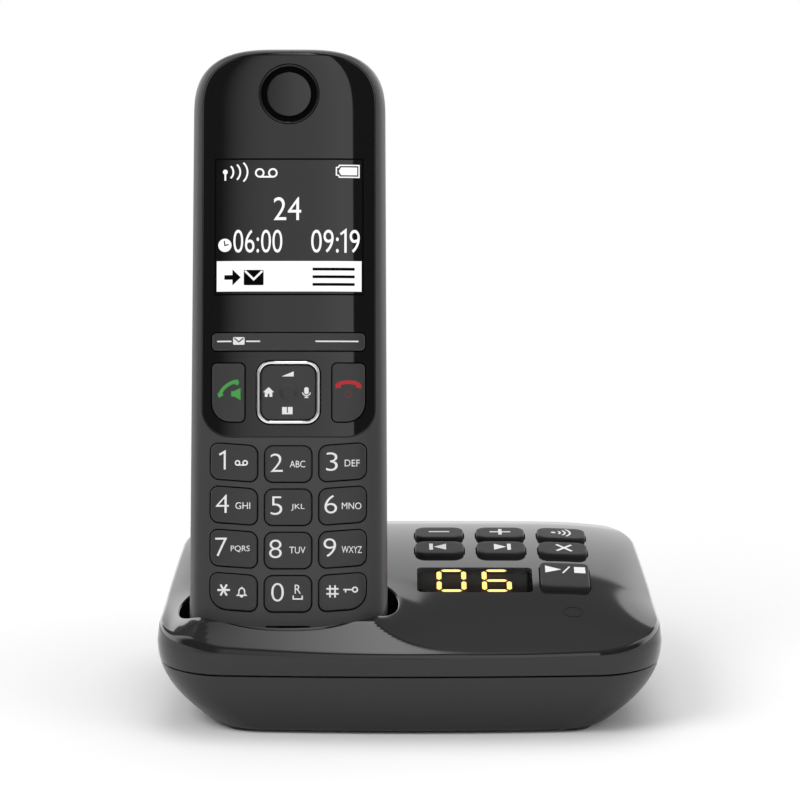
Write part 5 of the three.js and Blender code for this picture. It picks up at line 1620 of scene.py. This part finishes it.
def light_room(scene):
    """A white room to look at, a soft even light, and the studio that the polished surfaces mirror."""
    scene.world = bpy.data.worlds.new("studio")
    scene.world.use_nodes = True
    scene.world.node_tree.nodes.clear()
    wire = Wiring(scene.world.node_tree)
    white = (1.0, 1.0, 1.0, 1.0)
    seen = wire.add("ShaderNodeBackground", {"Color": white}).outputs[0]
    soft = wire.add("ShaderNodeBackground", {"Color": white, "Strength": settings().fill_strength}).outputs[0]
    mirrored = wire.add("ShaderNodeBackground", {"Strength": mirrored_room(wire)}).outputs[0]
    path = wire.add("ShaderNodeLightPath").outputs
    direct = wire.maths("MAXIMUM", path["Is Camera Ray"], path["Is Transmission Ray"])
    room = wire.shares(direct, wire.shares(path["Is Glossy Ray"], soft, mirrored), seen)
    wire.add("ShaderNodeOutputWorld", {"Surface": room})


def hang_lamps(scene):
    """Three soft lamps, aimed at the middle of the object."""
    for name, place, size, power in (("key light", (-0.9, -0.7, 1.2), 0.9, 11.0),
                                     ("top light", (0.2, 0.3, 1.5), 1.4, 10.0),
                                     ("fill light", (1.2, -0.6, 0.7), 0.8, 3.0)):
        light = bpy.data.lights.new(name, "AREA")
        light.shape, light.size, light.energy = "DISK", size, power
        lamp = bpy.data.objects.new(name, light)
        scene.collection.objects.link(lamp)
        lamp.location = place
        aim = Vector((0.0, 0.0, 0.06)) - lamp.location
        lamp.rotation_euler = aim.to_track_quat("-Z", "Y").to_euler()
        lamp.visible_camera = lamp.visible_glossy = False


def place_camera(scene):
    """A long lens a metre away, a little above the object."""
    lens = bpy.data.cameras.new("view")
    lens.lens, lens.sensor_width, lens.clip_start = settings().lens, 36.0, 0.01
    camera = bpy.data.objects.new("view", lens)
    scene.collection.objects.link(camera)
    target, rise = Vector((-0.00235, 0.002, 0.0745)), radians(11.5)
    camera.location = target + Vector((0.0, -cos(rise), sin(rise)))
    camera.rotation_euler = (pi / 2 - rise, 0.0, 0.0)
    scene.camera = camera


class TELEPHONE_PG_settings(PropertyGroup):
    shell_wall: FloatProperty(
        name="Base Wall", description="Thickness of the walls of the two base shells", unit="LENGTH",
        default=2.0 * MM, min=1.2 * MM, max=2.4 * MM)
    base_key_height: FloatProperty(
        name="Base Key Height", description="How far the keys of the base stand out of its top",
        unit="LENGTH", default=1.05 * MM, min=0.9 * MM, max=2.0 * MM)
    face_key_height: FloatProperty(
        name="Handset Key Height", description="How far the keys of the handset stand out of its face",
        unit="LENGTH", default=0.35 * MM, min=0.0, max=0.8 * MM)
    window_width: FloatProperty(
        name="Window Width", description="Width of the window over the message digits", unit="LENGTH",
        default=28.6 * MM, min=24.0 * MM, max=30.0 * MM)
    window_depth: FloatProperty(
        name="Window Depth", description="Depth of the window over the message digits", unit="LENGTH",
        default=13.8 * MM, min=13.0 * MM, max=16.0 * MM)
    housing_colour: FloatVectorProperty(
        name="Housing Colour", description="Colour of the polished base housing", subtype="COLOR",
        default=(0.012, 0.012, 0.013), min=0.0, max=1.0)
    handset_colour: FloatVectorProperty(
        name="Handset Colour", description="Colour of the matte handset shell", subtype="COLOR",
        default=(0.04, 0.04, 0.041), min=0.0, max=1.0)
    digit_colour: FloatVectorProperty(
        name="Digit Colour", description="Colour of the lit message digits", subtype="COLOR",
        default=(1.0, 0.56, 0.15), min=0.0, max=1.0)
    digit_strength: FloatProperty(
        name="Digit Brightness", description="Strength of the light of the message digits", default=3.8,
        min=0.0, max=60.0)
    fill_strength: FloatProperty(
        name="Room Light", description="Strength of the light that comes from all round", default=0.55,
        min=0.0, max=2.0)
    lens: FloatProperty(
        name="Lens", description="Focal length of the camera", default=178.4, min=20.0, max=400.0,
        unit="CAMERA")


class TELEPHONE_PT_parts(Panel):
    """Lists the pieces of the telephone"""

    bl_idname = "TELEPHONE_PT_parts"
    bl_label = "Telephone"
    bl_space_type = "VIEW_3D"
    bl_region_type = "UI"
    bl_category = "Telephone"

    def draw(self, context):
        look = context.scene.telephone
        column = self.layout.column()
        for name in TELEPHONE_PG_settings.__annotations__:
            column.prop(look, name)
        for operator in OPERATORS:
            column.operator(operator.bl_idname)


OPERATORS = (
    TELEPHONE_OT_inner_parts,
    TELEPHONE_OT_upper_shell,
    TELEPHONE_OT_lower_shell,
    TELEPHONE_OT_feet_and_screws,
    TELEPHONE_OT_base_keys,
    TELEPHONE_OT_message_window,
    TELEPHONE_OT_front_shell,
    TELEPHONE_OT_front_panel,
    TELEPHONE_OT_earpiece,
    TELEPHONE_OT_rear_shell,
    TELEPHONE_OT_battery_door,
    TELEPHONE_OT_face_keys,
    TELEPHONE_OT_navigation_key,
    TELEPHONE_OT_keypad_marks,
    TELEPHONE_OT_call_marks,
    TELEPHONE_OT_lit_display,
    TELEPHONE_OT_base_marks,
    TELEPHONE_OT_message_digits,
    TELEPHONE_OT_stage,
)
CLASSES = (TELEPHONE_PG_settings, *OPERATORS, TELEPHONE_PT_parts)


def register():
    for item in CLASSES:
        bpy.utils.register_class(item)
    bpy.types.Scene.telephone = PointerProperty(type=TELEPHONE_PG_settings)


def unregister():
    del bpy.types.Scene.telephone
    for item in reversed(CLASSES):
        bpy.utils.unregister_class(item)


def main():
    """Registers the add-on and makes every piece."""
    register()
    for operator in OPERATORS:
        family, name = operator.bl_idname.split(".")
        getattr(getattr(bpy.ops, family), name)()


if __name__ == "__main__":
    main()
